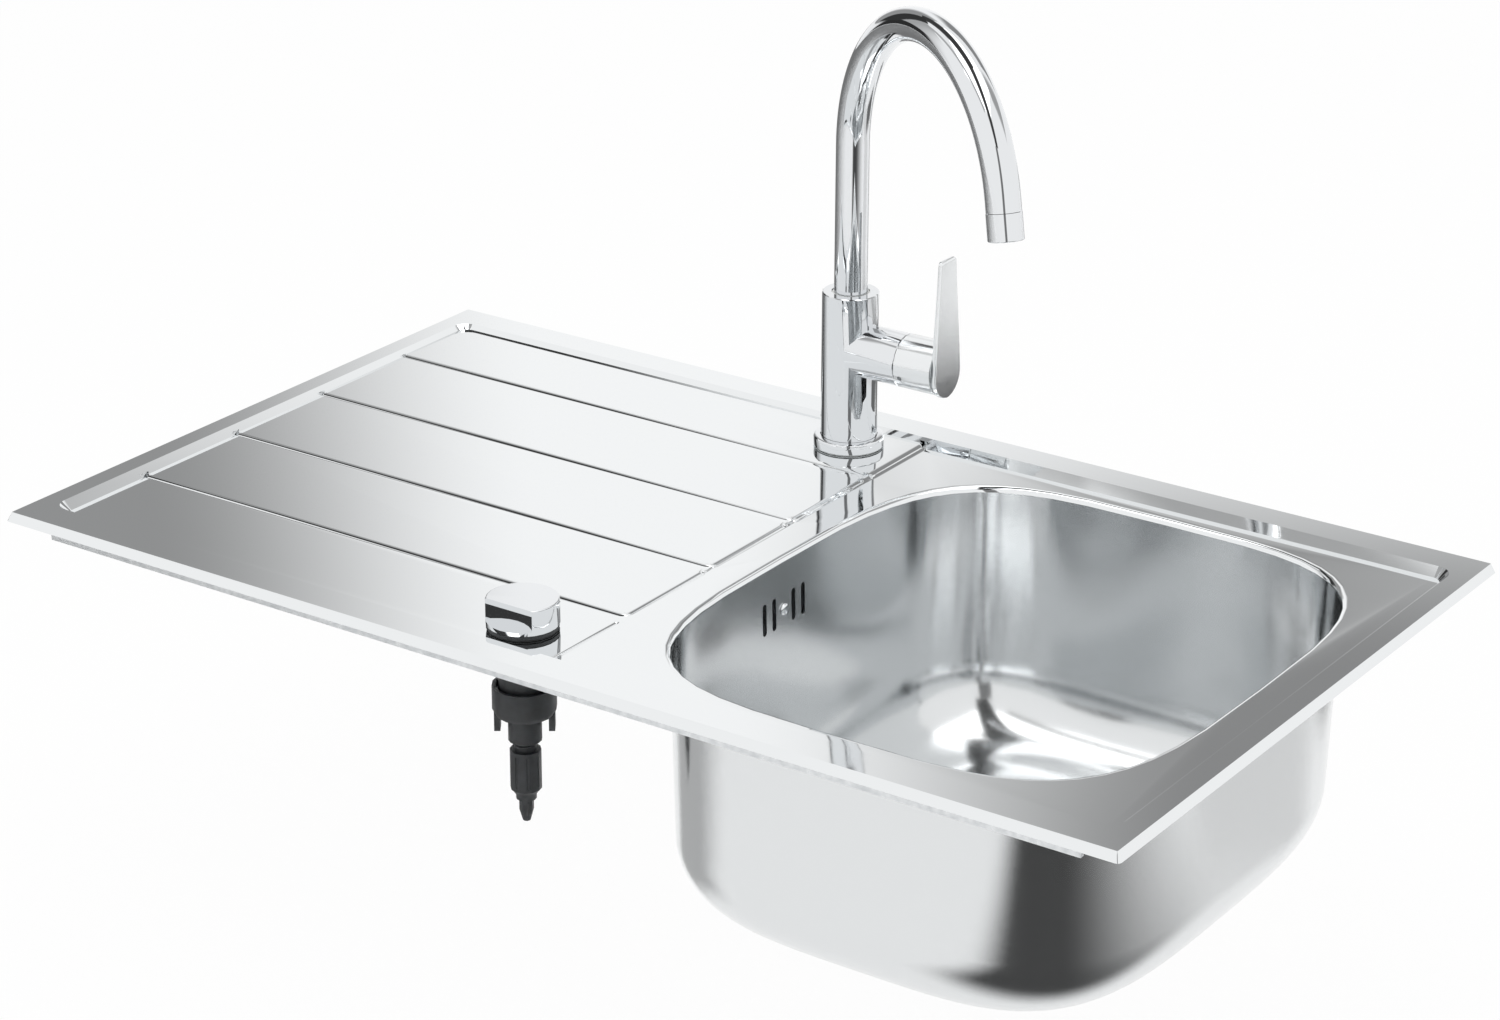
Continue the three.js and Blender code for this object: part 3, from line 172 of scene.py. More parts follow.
drawnSheet = {
    "colour": "#e1e3e4", "roughness": (0.12, 0.17), "anisotropic": 0.75,
    "grain": 0.55, "grainLength": 28, "grainDepth": 0.0005,          # mm
    "grainRange": (0.3, 0.7),
    "pullWidth": 30, "pullLength": 225, "pullDepth": 0.015,          # mm, draw marks down walls
    "centre": (209.2, 0.0), "meanRadius": 180,                       # mm, of the bowl
}


def satinStainless():
    # deep-drawn stainless bowl, brushed round and round: reflections smear into upright bands on
    # the walls and run in to the drain on the floor, with faint draw marks where the sheet flowed
    v = drawnSheet
    material, tree, shader = startMaterial("satinStainless", {
        "Base Color": linear(v["colour"]), "Metallic": 1.0,
        "Anisotropic": v["anisotropic"], "Anisotropic Rotation": 0.25,
    })
    coords = addNode(tree, "ShaderNodeTexCoord")
    centred = addNode(tree, "ShaderNodeMapping", {
        "Vector": coords.outputs["Object"],
        "Location": (-v["centre"][0] * mm, -v["centre"][1] * mm, 0),
    })
    split = addNode(tree, "ShaderNodeSeparateXYZ", {0: centred.outputs["Vector"]})
    turn = addNode(tree, "ShaderNodeMath", {
        0: split.outputs["Y"], 1: split.outputs["X"],
    }, operation="ARCTAN2")
    flat = addNode(tree, "ShaderNodeCombineXYZ", {"X": split.outputs["X"], "Y": split.outputs["Y"]})
    out = addNode(tree, "ShaderNodeVectorMath", {0: flat.outputs[0]}, operation="LENGTH")
    fine = 1 / (v["grain"] * mm)
    lap = addNode(tree, "ShaderNodeMath", {
        0: turn.outputs[0], 1: v["meanRadius"] / v["grainLength"],
    }, operation="MULTIPLY")
    ring = addNode(tree, "ShaderNodeMath", {0: out.outputs["Value"], 1: fine}, operation="MULTIPLY")
    rise = addNode(tree, "ShaderNodeMath", {0: split.outputs["Z"], 1: fine}, operation="MULTIPLY")
    brushing = addNode(tree, "ShaderNodeCombineXYZ", {
        "X": lap.outputs[0], "Y": ring.outputs[0], "Z": rise.outputs[0],
    })
    grain = addNode(tree, "ShaderNodeTexNoise", {
        "Vector": brushing.outputs[0], "Scale": 1.0, "Detail": 2.0, "Roughness": 0.55,
    })
    across = 1 / (v["pullWidth"] * mm)
    pulled = addNode(tree, "ShaderNodeMapping", {
        "Vector": coords.outputs["Object"], "Scale": (across, across, 1 / (v["pullLength"] * mm)),
    })
    marks = addNode(tree, "ShaderNodeTexNoise", {
        "Vector": pulled.outputs["Vector"], "Scale": 1.0, "Detail": 1.0,
    })
    gloss = addNode(tree, "ShaderNodeMapRange", {
        "Value": grain.outputs["Fac"],
        "From Min": v["grainRange"][0], "From Max": v["grainRange"][1],
        "To Min": v["roughness"][0], "To Max": v["roughness"][1],
    })
    tree.links.new(gloss.outputs["Result"], shader.inputs["Roughness"])
    drawn = addNode(tree, "ShaderNodeBump", {
        "Height": marks.outputs["Fac"], "Distance": v["pullDepth"] * mm, "Strength": 1.0,
    })
    brushed = addNode(tree, "ShaderNodeBump", {
        "Height": grain.outputs["Fac"], "Distance": v["grainDepth"] * mm, "Strength": 1.0,
        "Normal": drawn.outputs["Normal"],
    })
    tree.links.new(brushed.outputs["Normal"], shader.inputs["Normal"])
    # the tangent runs round the bowl, and the quarter turn above lays the smear across the grain
    tangent = addNode(tree, "ShaderNodeTangent", direction_type="RADIAL", axis="Z")
    tree.links.new(tangent.outputs["Tangent"], shader.inputs["Tangent"])
    return material


plating = {
    "colour": "#e6e8ea", "roughness": (0.02, 0.045),
    "peel": 6, "peelDepth": 0.0008,                                  # mm, polish under the plating
    "marks": 45, "markRange": (0.45, 0.75),                          # water marks to the metre
}


def chromePlate():
    # bright chrome plated on polished brass: a hard mirror with a trace of the buffing under it and
    # a dry water mark here and there
    v = plating
    material, tree, shader = startMaterial("chromePlate", {
        "Base Color": linear(v["colour"]), "Metallic": 1.0,
    })
    coords = addNode(tree, "ShaderNodeTexCoord")
    buffing = addNode(tree, "ShaderNodeTexNoise", {
        "Vector": coords.outputs["Object"], "Scale": 1 / (v["peel"] * mm), "Detail": 1.0,
    })
    marks = addNode(tree, "ShaderNodeTexNoise", {
        "Vector": coords.outputs["Object"], "Scale": v["marks"], "Detail": 5.0, "Roughness": 0.65,
    })
    gloss = addNode(tree, "ShaderNodeMapRange", {
        "Value": marks.outputs["Fac"],
        "From Min": v["markRange"][0], "From Max": v["markRange"][1],
        "To Min": v["roughness"][0], "To Max": v["roughness"][1],
    })
    tree.links.new(gloss.outputs["Result"], shader.inputs["Roughness"])
    peel = addNode(tree, "ShaderNodeBump", {
        "Height": buffing.outputs["Fac"], "Distance": v["peelDepth"] * mm, "Strength": 1.0,
    })
    tree.links.new(peel.outputs["Normal"], shader.inputs["Normal"])
    return material


satinLever = {
    "colour": "#eceeef", "roughness": (0.13, 0.19),
    "grain": 0.35, "grainLength": 12, "grainDepth": 0.0008,          # mm, lengthwise up the blade
    "grainRange": (0.3, 0.7),
}


def satinChrome():
    # satin chrome on a die-cast zinc lever: fine upright grain that spreads light along the blade
    v = satinLever
    material, tree, shader = startMaterial("satinChrome", {
        "Base Color": linear(v["colour"]), "Metallic": 1.0,
    })
    coords = addNode(tree, "ShaderNodeTexCoord")
    fine = 1 / (v["grain"] * mm)
    upright = addNode(tree, "ShaderNodeMapping", {
        "Vector": coords.outputs["Object"], "Scale": (fine, fine, 1 / (v["grainLength"] * mm)),
    })
    grain = addNode(tree, "ShaderNodeTexNoise", {
        "Vector": upright.outputs["Vector"], "Scale": 1.0, "Detail": 3.0,
    })
    gloss = addNode(tree, "ShaderNodeMapRange", {
        "Value": grain.outputs["Fac"],
        "From Min": v["grainRange"][0], "From Max": v["grainRange"][1],
        "To Min": v["roughness"][0], "To Max": v["roughness"][1],
    })
    tree.links.new(gloss.outputs["Result"], shader.inputs["Roughness"])
    brushed = addNode(tree, "ShaderNodeBump", {
        "Height": grain.outputs["Fac"], "Distance": v["grainDepth"] * mm, "Strength": 1.0,
    })
    tree.links.new(brushed.outputs["Normal"], shader.inputs["Normal"])
    return material


zinc = {
    "light": "#e6e8e9", "dark": "#d0d3d5", "roughness": (0.26, 0.4),
    "spangle": 5, "spangleDepth": 0.004,                             # mm
}


def zincPlatedSteel():
    # bright zinc on folded strip: pale grey crystals, each a slightly different tone and gloss
    v = zinc
    material, tree, shader = startMaterial("zincPlatedSteel", {"Metallic": 1.0})
    coords = addNode(tree, "ShaderNodeTexCoord")
    crystals = addNode(tree, "ShaderNodeTexVoronoi", {
        "Vector": coords.outputs["Object"], "Scale": 1 / (v["spangle"] * mm),
    })
    tone = addNode(tree, "ShaderNodeValToRGB", {"Fac": crystals.outputs["Distance"]})
    stops = tone.color_ramp.elements
    stops[0].color, stops[1].color = linear(v["light"]), linear(v["dark"])
    tree.links.new(tone.outputs["Color"], shader.inputs["Base Color"])
    gloss = addNode(tree, "ShaderNodeMapRange", {
        "Value": crystals.outputs["Distance"],
        "To Min": v["roughness"][0], "To Max": v["roughness"][1],
    })
    tree.links.new(gloss.outputs["Result"], shader.inputs["Roughness"])
    raised = addNode(tree, "ShaderNodeBump", {
        "Height": crystals.outputs["Distance"], "Distance": v["spangleDepth"] * mm, "Strength": 1.0,
    })
    tree.links.new(raised.outputs["Normal"], shader.inputs["Normal"])
    return material


brass = {
    "clean": "#c8a25c", "tarnished": "#9c7a42", "roughness": (0.22, 0.4),
    "feed": 0.7, "feedDepth": 0.01, "feedStrength": 0.6,             # mm, mm
    "bandPeriod": 0.314,                                             # metres, of bands at scale 1
    "stain": 14, "stainRange": (0.35, 0.75),                         # mm
}


def turnedBrass():
    # brass bar turned on a lathe: rings of the tool's feed, going brown in patches where it is
    # handled
    v = brass
    material, tree, shader = startMaterial("turnedBrass", {"Metallic": 1.0})
    coords = addNode(tree, "ShaderNodeTexCoord")
    rings = addNode(tree, "ShaderNodeTexWave", {
        "Vector": coords.outputs["Object"], "Scale": v["bandPeriod"] / (v["feed"] * mm),
        "Distortion": 0.3,
    }, wave_type="BANDS", bands_direction="Z")
    stain = addNode(tree, "ShaderNodeTexNoise", {
        "Vector": coords.outputs["Object"], "Scale": 1 / (v["stain"] * mm), "Detail": 5.0,
    })
    tone = addNode(tree, "ShaderNodeValToRGB", {"Fac": stain.outputs["Fac"]})
    stops = tone.color_ramp.elements
    stops[0].position, stops[1].position = v["stainRange"]
    stops[0].color, stops[1].color = linear(v["clean"]), linear(v["tarnished"])
    tree.links.new(tone.outputs["Color"], shader.inputs["Base Color"])
    gloss = addNode(tree, "ShaderNodeMapRange", {
        "Value": stain.outputs["Fac"], "To Min": v["roughness"][0], "To Max": v["roughness"][1],
    })
    tree.links.new(gloss.outputs["Result"], shader.inputs["Roughness"])
    tooled = addNode(tree, "ShaderNodeBump", {
        "Height": rings.outputs["Fac"],
        "Distance": v["feedDepth"] * mm, "Strength": v["feedStrength"],
    })
    tree.links.new(tooled.outputs["Normal"], shader.inputs["Normal"])
    return material


moulding = {"toneRange": (0.3, 0.75), "grainStrength": 0.7}


def mouldedPlastic(v):
    # injection moulded plastic: fine spark-eroded texture and slow variation in tone and gloss
    # where the melt cooled
    material, tree, shader = startMaterial(v["name"], {"IOR": v["ior"]})
    coords = addNode(tree, "ShaderNodeTexCoord")
    texture = addNode(tree, "ShaderNodeTexNoise", {
        "Vector": coords.outputs["Object"], "Scale": 1 / (v["grain"] * mm), "Detail": 2.0,
    })
    flow = addNode(tree, "ShaderNodeTexNoise", {
        "Vector": coords.outputs["Object"], "Scale": 1 / (v["flow"] * mm), "Detail": 3.0,
    })
    tone = addNode(tree, "ShaderNodeValToRGB", {"Fac": flow.outputs["Fac"]})
    stops = tone.color_ramp.elements
    stops[0].position, stops[1].position = moulding["toneRange"]
    stops[0].color, stops[1].color = linear(v["dark"]), linear(v["light"])
    tree.links.new(tone.outputs["Color"], shader.inputs["Base Color"])
    gloss = addNode(tree, "ShaderNodeMapRange", {
        "Value": flow.outputs["Fac"], "To Min": v["roughness"][0], "To Max": v["roughness"][1],
    })
    tree.links.new(gloss.outputs["Result"], shader.inputs["Roughness"])
    grained = addNode(tree, "ShaderNodeBump", {
        "Height": texture.outputs["Fac"], "Distance": v["grainDepth"] * mm,
        "Strength": moulding["grainStrength"],
    })
    tree.links.new(grained.outputs["Normal"], shader.inputs["Normal"])
    return material


# glass-filled nylon under the knob, acetal in the tap, polypropylene in the waste, rubber, silicone
# and foam; grain and flow in mm, drawn coarser than real so that they show
nylon = {"name": "blackNylon", "ior": 1.53, "dark": "#1f2123", "light": "#303336",
         "roughness": (0.38, 0.52), "grain": 0.6, "grainDepth": 0.02, "flow": 9}
greyAcetal = {"name": "greyAcetal", "ior": 1.48, "dark": "#85898c", "light": "#979b9e",
              "roughness": (0.32, 0.45), "grain": 0.6, "grainDepth": 0.01, "flow": 12}
polypropylene = {"name": "whitePolypropylene", "ior": 1.49, "dark": "#dcdddb", "light": "#ecedeb",
                 "roughness": (0.3, 0.42), "grain": 0.8, "grainDepth": 0.012, "flow": 20}
epdm = {"name": "epdmRubber", "ior": 1.5, "dark": "#161718", "light": "#232526",
        "roughness": (0.55, 0.75), "grain": 0.5, "grainDepth": 0.02, "flow": 6}
silicone = {"name": "paleSilicone", "ior": 1.41, "dark": "#c6c9c9", "light": "#d6d9d9",
            "roughness": (0.45, 0.6), "grain": 0.5, "grainDepth": 0.01, "flow": 8}
cellFoam = {"name": "closedCellFoam", "ior": 1.4, "dark": "#343638", "light": "#46494b",
            "roughness": (0.8, 0.95), "grain": 0.9, "grainDepth": 0.12, "flow": 15}

# the finish that each material slot of the record takes
finishes = {
    "polished_steel": mirrorStainless(), "satin_steel": satinStainless(), "chrome": chromePlate(),
    "satin_chrome": satinChrome(), "zinc_steel": zincPlatedSteel(), "brass": turnedBrass(),
    "black_plastic": mouldedPlastic(nylon), "grey_plastic": mouldedPlastic(greyAcetal),
    "white_plastic": mouldedPlastic(polypropylene), "rubber": mouldedPlastic(epdm),
    "foam": mouldedPlastic(cellFoam),
}
ownFinish = {"tap_base_gasket": mouldedPlastic(silicone)}           # the pale seal under the tap
print("materials made:", len(finishes) + len(ownFinish))


smoothing = {
    "weld": 0.01,                                                    # mm
    "angle": 38, "coarseAngle": 50,                                  # degrees that stay smooth
    "flatWeight": 60,
    "coarse": (
        "knob_spindle", "lever_screw", "tap_stud", "lift_pin", "waste_hollow_screw",
        "overflow_screw",
    ),
}


def smoothTree(angle):
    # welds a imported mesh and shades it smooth, except along edges sharper than the angle
    tree = bpy.data.node_groups.new("smoothTo%d" % angle, "GeometryNodeTree")
    tree.interface.new_socket("Geometry", in_out="INPUT", socket_type="NodeSocketGeometry")
    tree.interface.new_socket("Geometry", in_out="OUTPUT", socket_type="NodeSocketGeometry")
    start = addNode(tree, "NodeGroupInput")
    welded = addNode(tree, "GeometryNodeMergeByDistance", {
        "Geometry": start.outputs[0], "Distance": smoothing["weld"] * mm,
    })
    edge = addNode(tree, "GeometryNodeInputMeshEdgeAngle")
    sharp = addNode(tree, "FunctionNodeCompare", {
        0: edge.outputs["Unsigned Angle"], 1: math.radians(angle),
    }, data_type="FLOAT", operation="GREATER_THAN")
    shaded = addNode(tree, "GeometryNodeSetMeshNormal", {
        "Mesh": welded.outputs[0], "Remove Custom": True,
        "Edge Sharpness": sharp.outputs[0], "Face Sharpness": False,
    }, mode="SHARPNESS")
    addNode(tree, "NodeGroupOutput", {0: shaded.outputs[0]})
    return tree


smoothTrees = {name: smoothTree(smoothing[name]) for name in ("angle", "coarseAngle")}


def smooth(piece, kind="angle"):
    shading = piece.modifiers.new("shading", "NODES")
    shading.node_group = smoothTrees[kind]
    flats = piece.modifiers.new("flats", "WEIGHTED_NORMAL")          # keeps the large flats flat
    flats.keep_sharp = True
    flats.weight = smoothing["flatWeight"]


def dressNodes():
    for part in frame["record"]["subparts"]:
        node = frame["nodes"][part["node"]]
        finish = ownFinish.get(part["node"]) or finishes[part["material_slot"]]
        if not node.material_slots:
            node.data.materials.append(finish)
        for place in node.material_slots:
            place.material = finish
        smooth(node, "coarseAngle" if part["node"] in smoothing["coarse"] else "angle")


dressNodes()
print("nodes dressed")


def meshPiece(name, rings, looped, slot):
    # skins rings of equal length (mm); looped joins the last ring to the first
    mesh = bpy.data.meshes.new(name)
    made = bmesh.new()
    corners = [[made.verts.new([c * mm for c in point]) for point in ring] for ring in rings]
    last = len(rings) if looped else len(rings) - 1
    for r in range(last):
        near, far = corners[r], corners[(r + 1) % len(rings)]
        for n in range(len(near)):
            m = (n + 1) % len(near)
            made.faces.new((near[n], near[m], far[m], far[n]))
    bmesh.ops.recalc_face_normals(made, faces=made.faces)
    made.to_mesh(mesh)
    made.free()
    piece = bpy.data.objects.new(name, mesh)
    bpy.context.scene.collection.objects.link(piece)
    piece.data.materials.append(finishes[slot])
    return piece


bowl = {                                                             # mm and degrees
    "centre": 209.2, "halfLength": 175.5, "halfWidth": 201.5, "power": 3.75,
    "seam": -3.8, "draft": 1.4, "wallEnd": -127.8, "floorRadius": 55, "floor": -182.8,
    "fall": 3, "crease": 1.3, "creaseEdge": 1.3,                     # of the floor
    "well": 57.5, "wellFoot": 56, "wellFloor": -190.3, "hole": 43.5, "sheet": 1,
    "coarse": 48, "fine": 4,                                         # the frame's points, finer
    "wallRings": (-14, -45, -90), "kneeRings": 16, "floorRings": 16,
    "slotPitch": 11.3, "slot": (4.6, 23), "slotsAside": 2, "screwHole": (5.8, 5.82),
    "slotLevel": -37.3, "slotCorner": 6, "slotReach": 6,
}


def bowlOutline(grow, coarse=False):
    # the square-shouldered outline; coarse keeps the straight runs of the frame's own edge
    v = bowl
    count = v["coarse"] if coarse else v["coarse"] * v["fine"]
    points = []
    for i in range(count):
        turn = 2 * math.pi * i / count
        c, s = math.cos(turn), math.sin(turn)
        points.append((
            math.copysign((v["halfLength"] + grow) * abs(c) ** (2 / v["power"]), c),
            math.copysign((v["halfWidth"] + grow) * abs(s) ** (2 / v["power"]), s),
        ))
    if not coarse:
        return points
    between = []
    for (x, y), (nextX, nextY) in zip(points, points[1:] + points[:1]):
        for step in range(v["fine"]):
            share = step / v["fine"]
            between.append((x + (nextX - x) * share, y + (nextY - y) * share))
    return between


def bowlRings(grow):
    # one face of the sheet from the weld to the drain hole; grow moves it outwards
    v = bowl
    slope = math.tan(math.radians(v["draft"]))
    rings = [(bowlOutline(grow, coarse=True), v["seam"])]
    for z in v["wallRings"] + (v["wallEnd"],):
        rings.append((bowlOutline(grow - (v["seam"] - z) * slope), z))
    inset = (v["seam"] - v["wallEnd"]) * slope
    reach = v["floorRadius"] + grow
    for step in range(1, v["kneeRings"] + 1):
        angle = math.pi / 2 * step / v["kneeRings"]
        shrink = inset + v["floorRadius"] - reach * math.cos(angle)
        rings.append((bowlOutline(-shrink), v["wallEnd"] - reach * math.sin(angle)))
    rings = [[(x, y, z) for x, y in outline] for outline, z in rings]
    edge = bowlOutline(-inset - v["floorRadius"])
    count = len(edge)
    turns = [2 * math.pi * n / count for n in range(count)]
    for step in range(1, v["floorRings"] + 1):
        s = step / v["floorRings"]
        ring = []
        for (x, y), turn in zip(edge, turns):
            # nought on the crease, one at the next of the frame's points
            off = abs((math.degrees(turn) % 90) - 45) / (360 / v["coarse"])
            fold = max(0.0, 1 - off) ** v["creaseEdge"]
            low = v["fall"] * s + fold * v["crease"] * (1 - s * s)
            wellX, wellY = ((v["well"] + grow) * f(turn) for f in (math.cos, math.sin))
            ring.append((x + (wellX - x) * s, y + (wellY - y) * s, v["floor"] - grow - low))
        rings.append(ring)
    for radius in (v["wellFoot"] + grow, v["hole"]):
        rings.append([
            (radius * math.cos(turn), radius * math.sin(turn), v["wellFloor"] - grow)
            for turn in turns
        ])
    return [[(x + v["centre"], y, z) for x, y, z in ring] for ring in rings]


def slotCutter(width, height, across):
    # a bar with rounded ends through the left wall, leaning with it
    v = bowl
    lean = math.radians(v["draft"])
    wall = v["centre"] - v["halfLength"] + (v["seam"] - v["slotLevel"]) * math.tan(lean)
    outline = []
    for side, middle in ((1, height / 2 - width / 2), (-1, width / 2 - height / 2)):
        for step in range(v["slotCorner"] + 1):
            turn = math.pi * step / v["slotCorner"]
            reach = side * width / 2
            outline.append((reach * math.cos(turn), middle + reach * math.sin(turn)))
    rings = []
    for depth in (-v["slotReach"], v["slotReach"]):
        rings.append([
            (wall + depth * math.cos(lean) - z * math.sin(lean), across + y,
             v["slotLevel"] + depth * math.sin(lean) + z * math.cos(lean))
            for y, z in outline
        ])
    piece = meshPiece("slotCutter", rings, False, "satin_steel")
    made = bmesh.new()
    made.from_mesh(piece.data)
    bmesh.ops.holes_fill(made, edges=made.edges)
    bmesh.ops.recalc_face_normals(made, faces=made.faces)
    made.to_mesh(piece.data)
    made.free()
    return piece


def makeBowl():
    # stands for the frame's bowl with a round knee and smooth creases, to the same sizes
    v = bowl
    rings = bowlRings(v["sheet"])[::-1] + bowlRings(0)
    piece = meshPiece("drawnBowl", rings, True, "satin_steel")
    cutters = []
    for n in range(-v["slotsAside"], v["slotsAside"] + 1):
        width, height = v["slot"] if n else v["screwHole"]
        cutters.append(slotCutter(width, height, n * v["slotPitch"]))
    for cutter in cutters:
        cut = piece.modifiers.new("slot", "BOOLEAN")
        cut.object = cutter
        cut.operation = "DIFFERENCE"
        cut.solver = "EXACT"
    graph = bpy.context.evaluated_depsgraph_get()
    shaped = bpy.data.meshes.new_from_object(piece.evaluated_get(graph))
    piece.modifiers.clear()
    piece.data = shaped
    for cutter in cutters:
        bpy.data.objects.remove(cutter)
    smooth(piece)
    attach(piece, "sink")
    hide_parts("sink_bowl")


makeBowl()
print("bowl drawn")


gooseneck = {                                                        # mm and degrees
    "place": (-38, 188, 2.8), "swing": -31,
    "root": 92.9, "bendStart": 221.1, "bend": 110.5, "sweep": 167, "dip": 0.85,
    "afterRoot": 40, "beforeBend": 30,                               # rings on the straight length
    "pipeEnd": 6.9, "radius": 11.75, "wall": 1.5,
    "sleeve": (7.2, 25.5), "sleeveRadius": 12.0, "sleeveRound": 0.8, "sleeveLip": 0.1,
    "steps": 60, "roundSteps": 4, "around": 48,
}


def gooseneckRing(distance, radius):
    # a ring round the pipe; distance runs from the start of the bend, below nought on the straight
    # root
    v = gooseneck
    arc = v["bend"] * math.radians(v["sweep"])
    lean = math.radians(v["sweep"]) * min(max(distance / arc, 0), 1)
    beyond = max(distance - arc, 0)
    out = v["bend"] * (1 - math.cos(lean)) + beyond * math.sin(lean)
    # the dip keeps the crown inside the frame's own, whose bend is made of short straight lengths
    up = v["bendStart"] + v["bend"] * math.sin(lean) - v["dip"] * math.sin(lean) ** 2
    up += beyond * math.cos(lean) + min(distance, 0)
    swing = math.radians(v["swing"])
    ring = []
    for n in range(v["around"]):
        turn = 2 * math.pi * n / v["around"]
        ahead, aside = radius * math.cos(turn), radius * math.sin(turn)
        x, y = out + ahead * math.cos(lean), aside
        ring.append((
            v["place"][0] + x * math.cos(swing) - y * math.sin(swing),
            v["place"][1] + x * math.sin(swing) + y * math.cos(swing),
            v["place"][2] + up - ahead * math.sin(lean),
        ))
    return ring


def makeGooseneck():
    # the bent pipe and its end sleeve, drawn with more steps than the frame's
    v = gooseneck
    arc = v["bend"] * math.radians(v["sweep"])
    foot = v["root"] - v["bendStart"]
    line = [foot, foot + v["afterRoot"], -v["beforeBend"]]
    line += [arc * step / v["steps"] for step in range(v["steps"] + 1)] + [arc + v["pipeEnd"]]
    rings = [gooseneckRing(at, v["radius"]) for at in line]
    rings += [gooseneckRing(at, v["radius"] - v["wall"]) for at in reversed(line)]
    pipe = meshPiece("bentPipe", rings, True, "chrome")
    start, end = v["sleeve"]
    bore = v["radius"] - v["wall"]
    edge = v["sleeveRound"]
    wide = v["sleeveRadius"]
    profile = [(start, bore), (start, wide), (start + v["sleeveLip"], wide)]
    for step in range(v["roundSteps"] + 1):
        turn = math.pi / 2 * step / v["roundSteps"]
        profile.append((end - edge + edge * math.sin(turn), wide - edge + edge * math.cos(turn)))
    profile.append((end, bore))
    rings = [gooseneckRing(arc + at, radius) for at, radius in profile]
    sleeve = meshPiece("endSleeve", rings, True, "chrome")
    for piece, node in ((pipe, "spout"), (sleeve, "aerator_sleeve")):
        smooth(piece)
        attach(piece, "spout")
        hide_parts(node)


makeGooseneck()
print("gooseneck bent")


studio = {
    "floorGap": 1.0, "floorSize": 30,                                # mm below all, metres
    "floorColour": "#f4f4f3", "floorRoughness": 0.9, "floorGlow": 0.97,
    "ambient": 0.6,
    "overhead": {"size": 2.4, "height": 2.4, "power": 30},           # metres, watts
}


def shownRays(tree):
    # 1 for what the camera, metal and glass see, and 0 for the light that falls on other things
    path = addNode(tree, "ShaderNodeLightPath")
    some = addNode(tree, "ShaderNodeMath", {
        0: path.outputs["Is Camera Ray"], 1: path.outputs["Is Glossy Ray"],
    }, operation="MAXIMUM")
    shown = addNode(tree, "ShaderNodeMath", {
        0: some.outputs[0], 1: path.outputs["Is Transmission Ray"],
    }, operation="MAXIMUM")
    return shown.outputs[0]


def makeFloor():
    low = cadBox[0][2] - studio["floorGap"] * mm
    bpy.ops.mesh.primitive_plane_add(size=studio["floorSize"], location=(0, 0, low))
    floor = bpy.context.object
    floor.name = "floor"
    material, tree, shader = startMaterial("whiteSweep", {
        "Base Color": linear(studio["floorColour"]), "Roughness": studio["floorRoughness"],
    })
    # some of the floor's own white is kept back, so that the shadow shows
    share = addNode(tree, "ShaderNodeMath", {
        0: shownRays(tree), 1: studio["floorGlow"],
    }, operation="MULTIPLY")
    glow = addNode(tree, "ShaderNodeEmission", {"Color": (1, 1, 1, 1), "Strength": 1.0})
    mix = addNode(tree, "ShaderNodeMixShader", {
        0: share.outputs[0], 1: shader.outputs[0], 2: glow.outputs[0],
    })
    tree.links.new(mix.outputs[0], tree.nodes["Material Output"].inputs["Surface"])
    floor.data.materials.append(material)


def makeWorld():
    # white to the eye, to metal and to glass, and a plain soft level for everything else
    world = bpy.data.worlds.new("studio")
    bpy.context.scene.world = world
    world.use_nodes = True
    tree = world.node_tree
    level = addNode(tree, "ShaderNodeMapRange", {
        "Value": shownRays(tree), "To Min": studio["ambient"], "To Max": 1.0,
    })
    back = tree.nodes["Background"]
    back.inputs["Color"].default_value = (1, 1, 1, 1)
    tree.links.new(level.outputs["Result"], back.inputs["Strength"])


def makeOverhead():
    v = studio["overhead"]
    data = bpy.data.lights.new("overhead", "AREA")
    data.size = v["size"]
    data.energy = v["power"]
    lamp = bpy.data.objects.new("overhead", data)
    bpy.context.scene.collection.objects.link(lamp)
    lamp.location = (0, 0, v["height"])


makeFloor()
makeWorld()
makeOverhead()
print("floor, world and lamp set")


def makeCard(name, place, turn=(0, 0, 0), scale=(1, 1, 1), size=1):
    # a plane that only reflections see; its bare material is given back to be painted
    bpy.ops.mesh.primitive_plane_add(size=size)
    card = bpy.context.object
    card.name = name
    card.location, card.rotation_euler, card.scale = place, turn, scale
    card.visible_camera = False
    card.visible_diffuse = False
    card.visible_shadow = False
    material = bpy.data.materials.new(name)
    material.use_nodes = True
    tree = material.node_tree
    tree.nodes.remove(tree.nodes["Principled BSDF"])
    card.data.materials.append(material)
    return tree


def standingCard(name, v):
    # its angle is counted round the sink from straight in front; the camera stands at 34.5
    angle = math.radians(v["angle"])
    x, y = v["away"] * math.sin(angle), -v["away"] * math.cos(angle)
    return makeCard(
        name, place=(x, y, (v["high"] + v["low"]) / 2),
        turn=(math.pi / 2, 0, angle), scale=(v["width"], v["high"] - v["low"], 1),
    )


def softSides(tree, soft):
    # 1 in the middle of a card, falling to 0 at its two sides over soft, a share of its width
    coords = addNode(tree, "ShaderNodeTexCoord")
    split = addNode(tree, "ShaderNodeSeparateXYZ", {0: coords.outputs["Object"]})
    off = addNode(tree, "ShaderNodeMath", {0: split.outputs["X"]}, operation="ABSOLUTE")
    cover = addNode(tree, "ShaderNodeMapRange", {
        "Value": off.outputs[0], "From Min": 0.5 - soft, "From Max": 0.5,
        "To Min": 1.0, "To Max": 0.0,
    }, interpolation_type="SMOOTHSTEP")
    return cover.outputs["Result"]


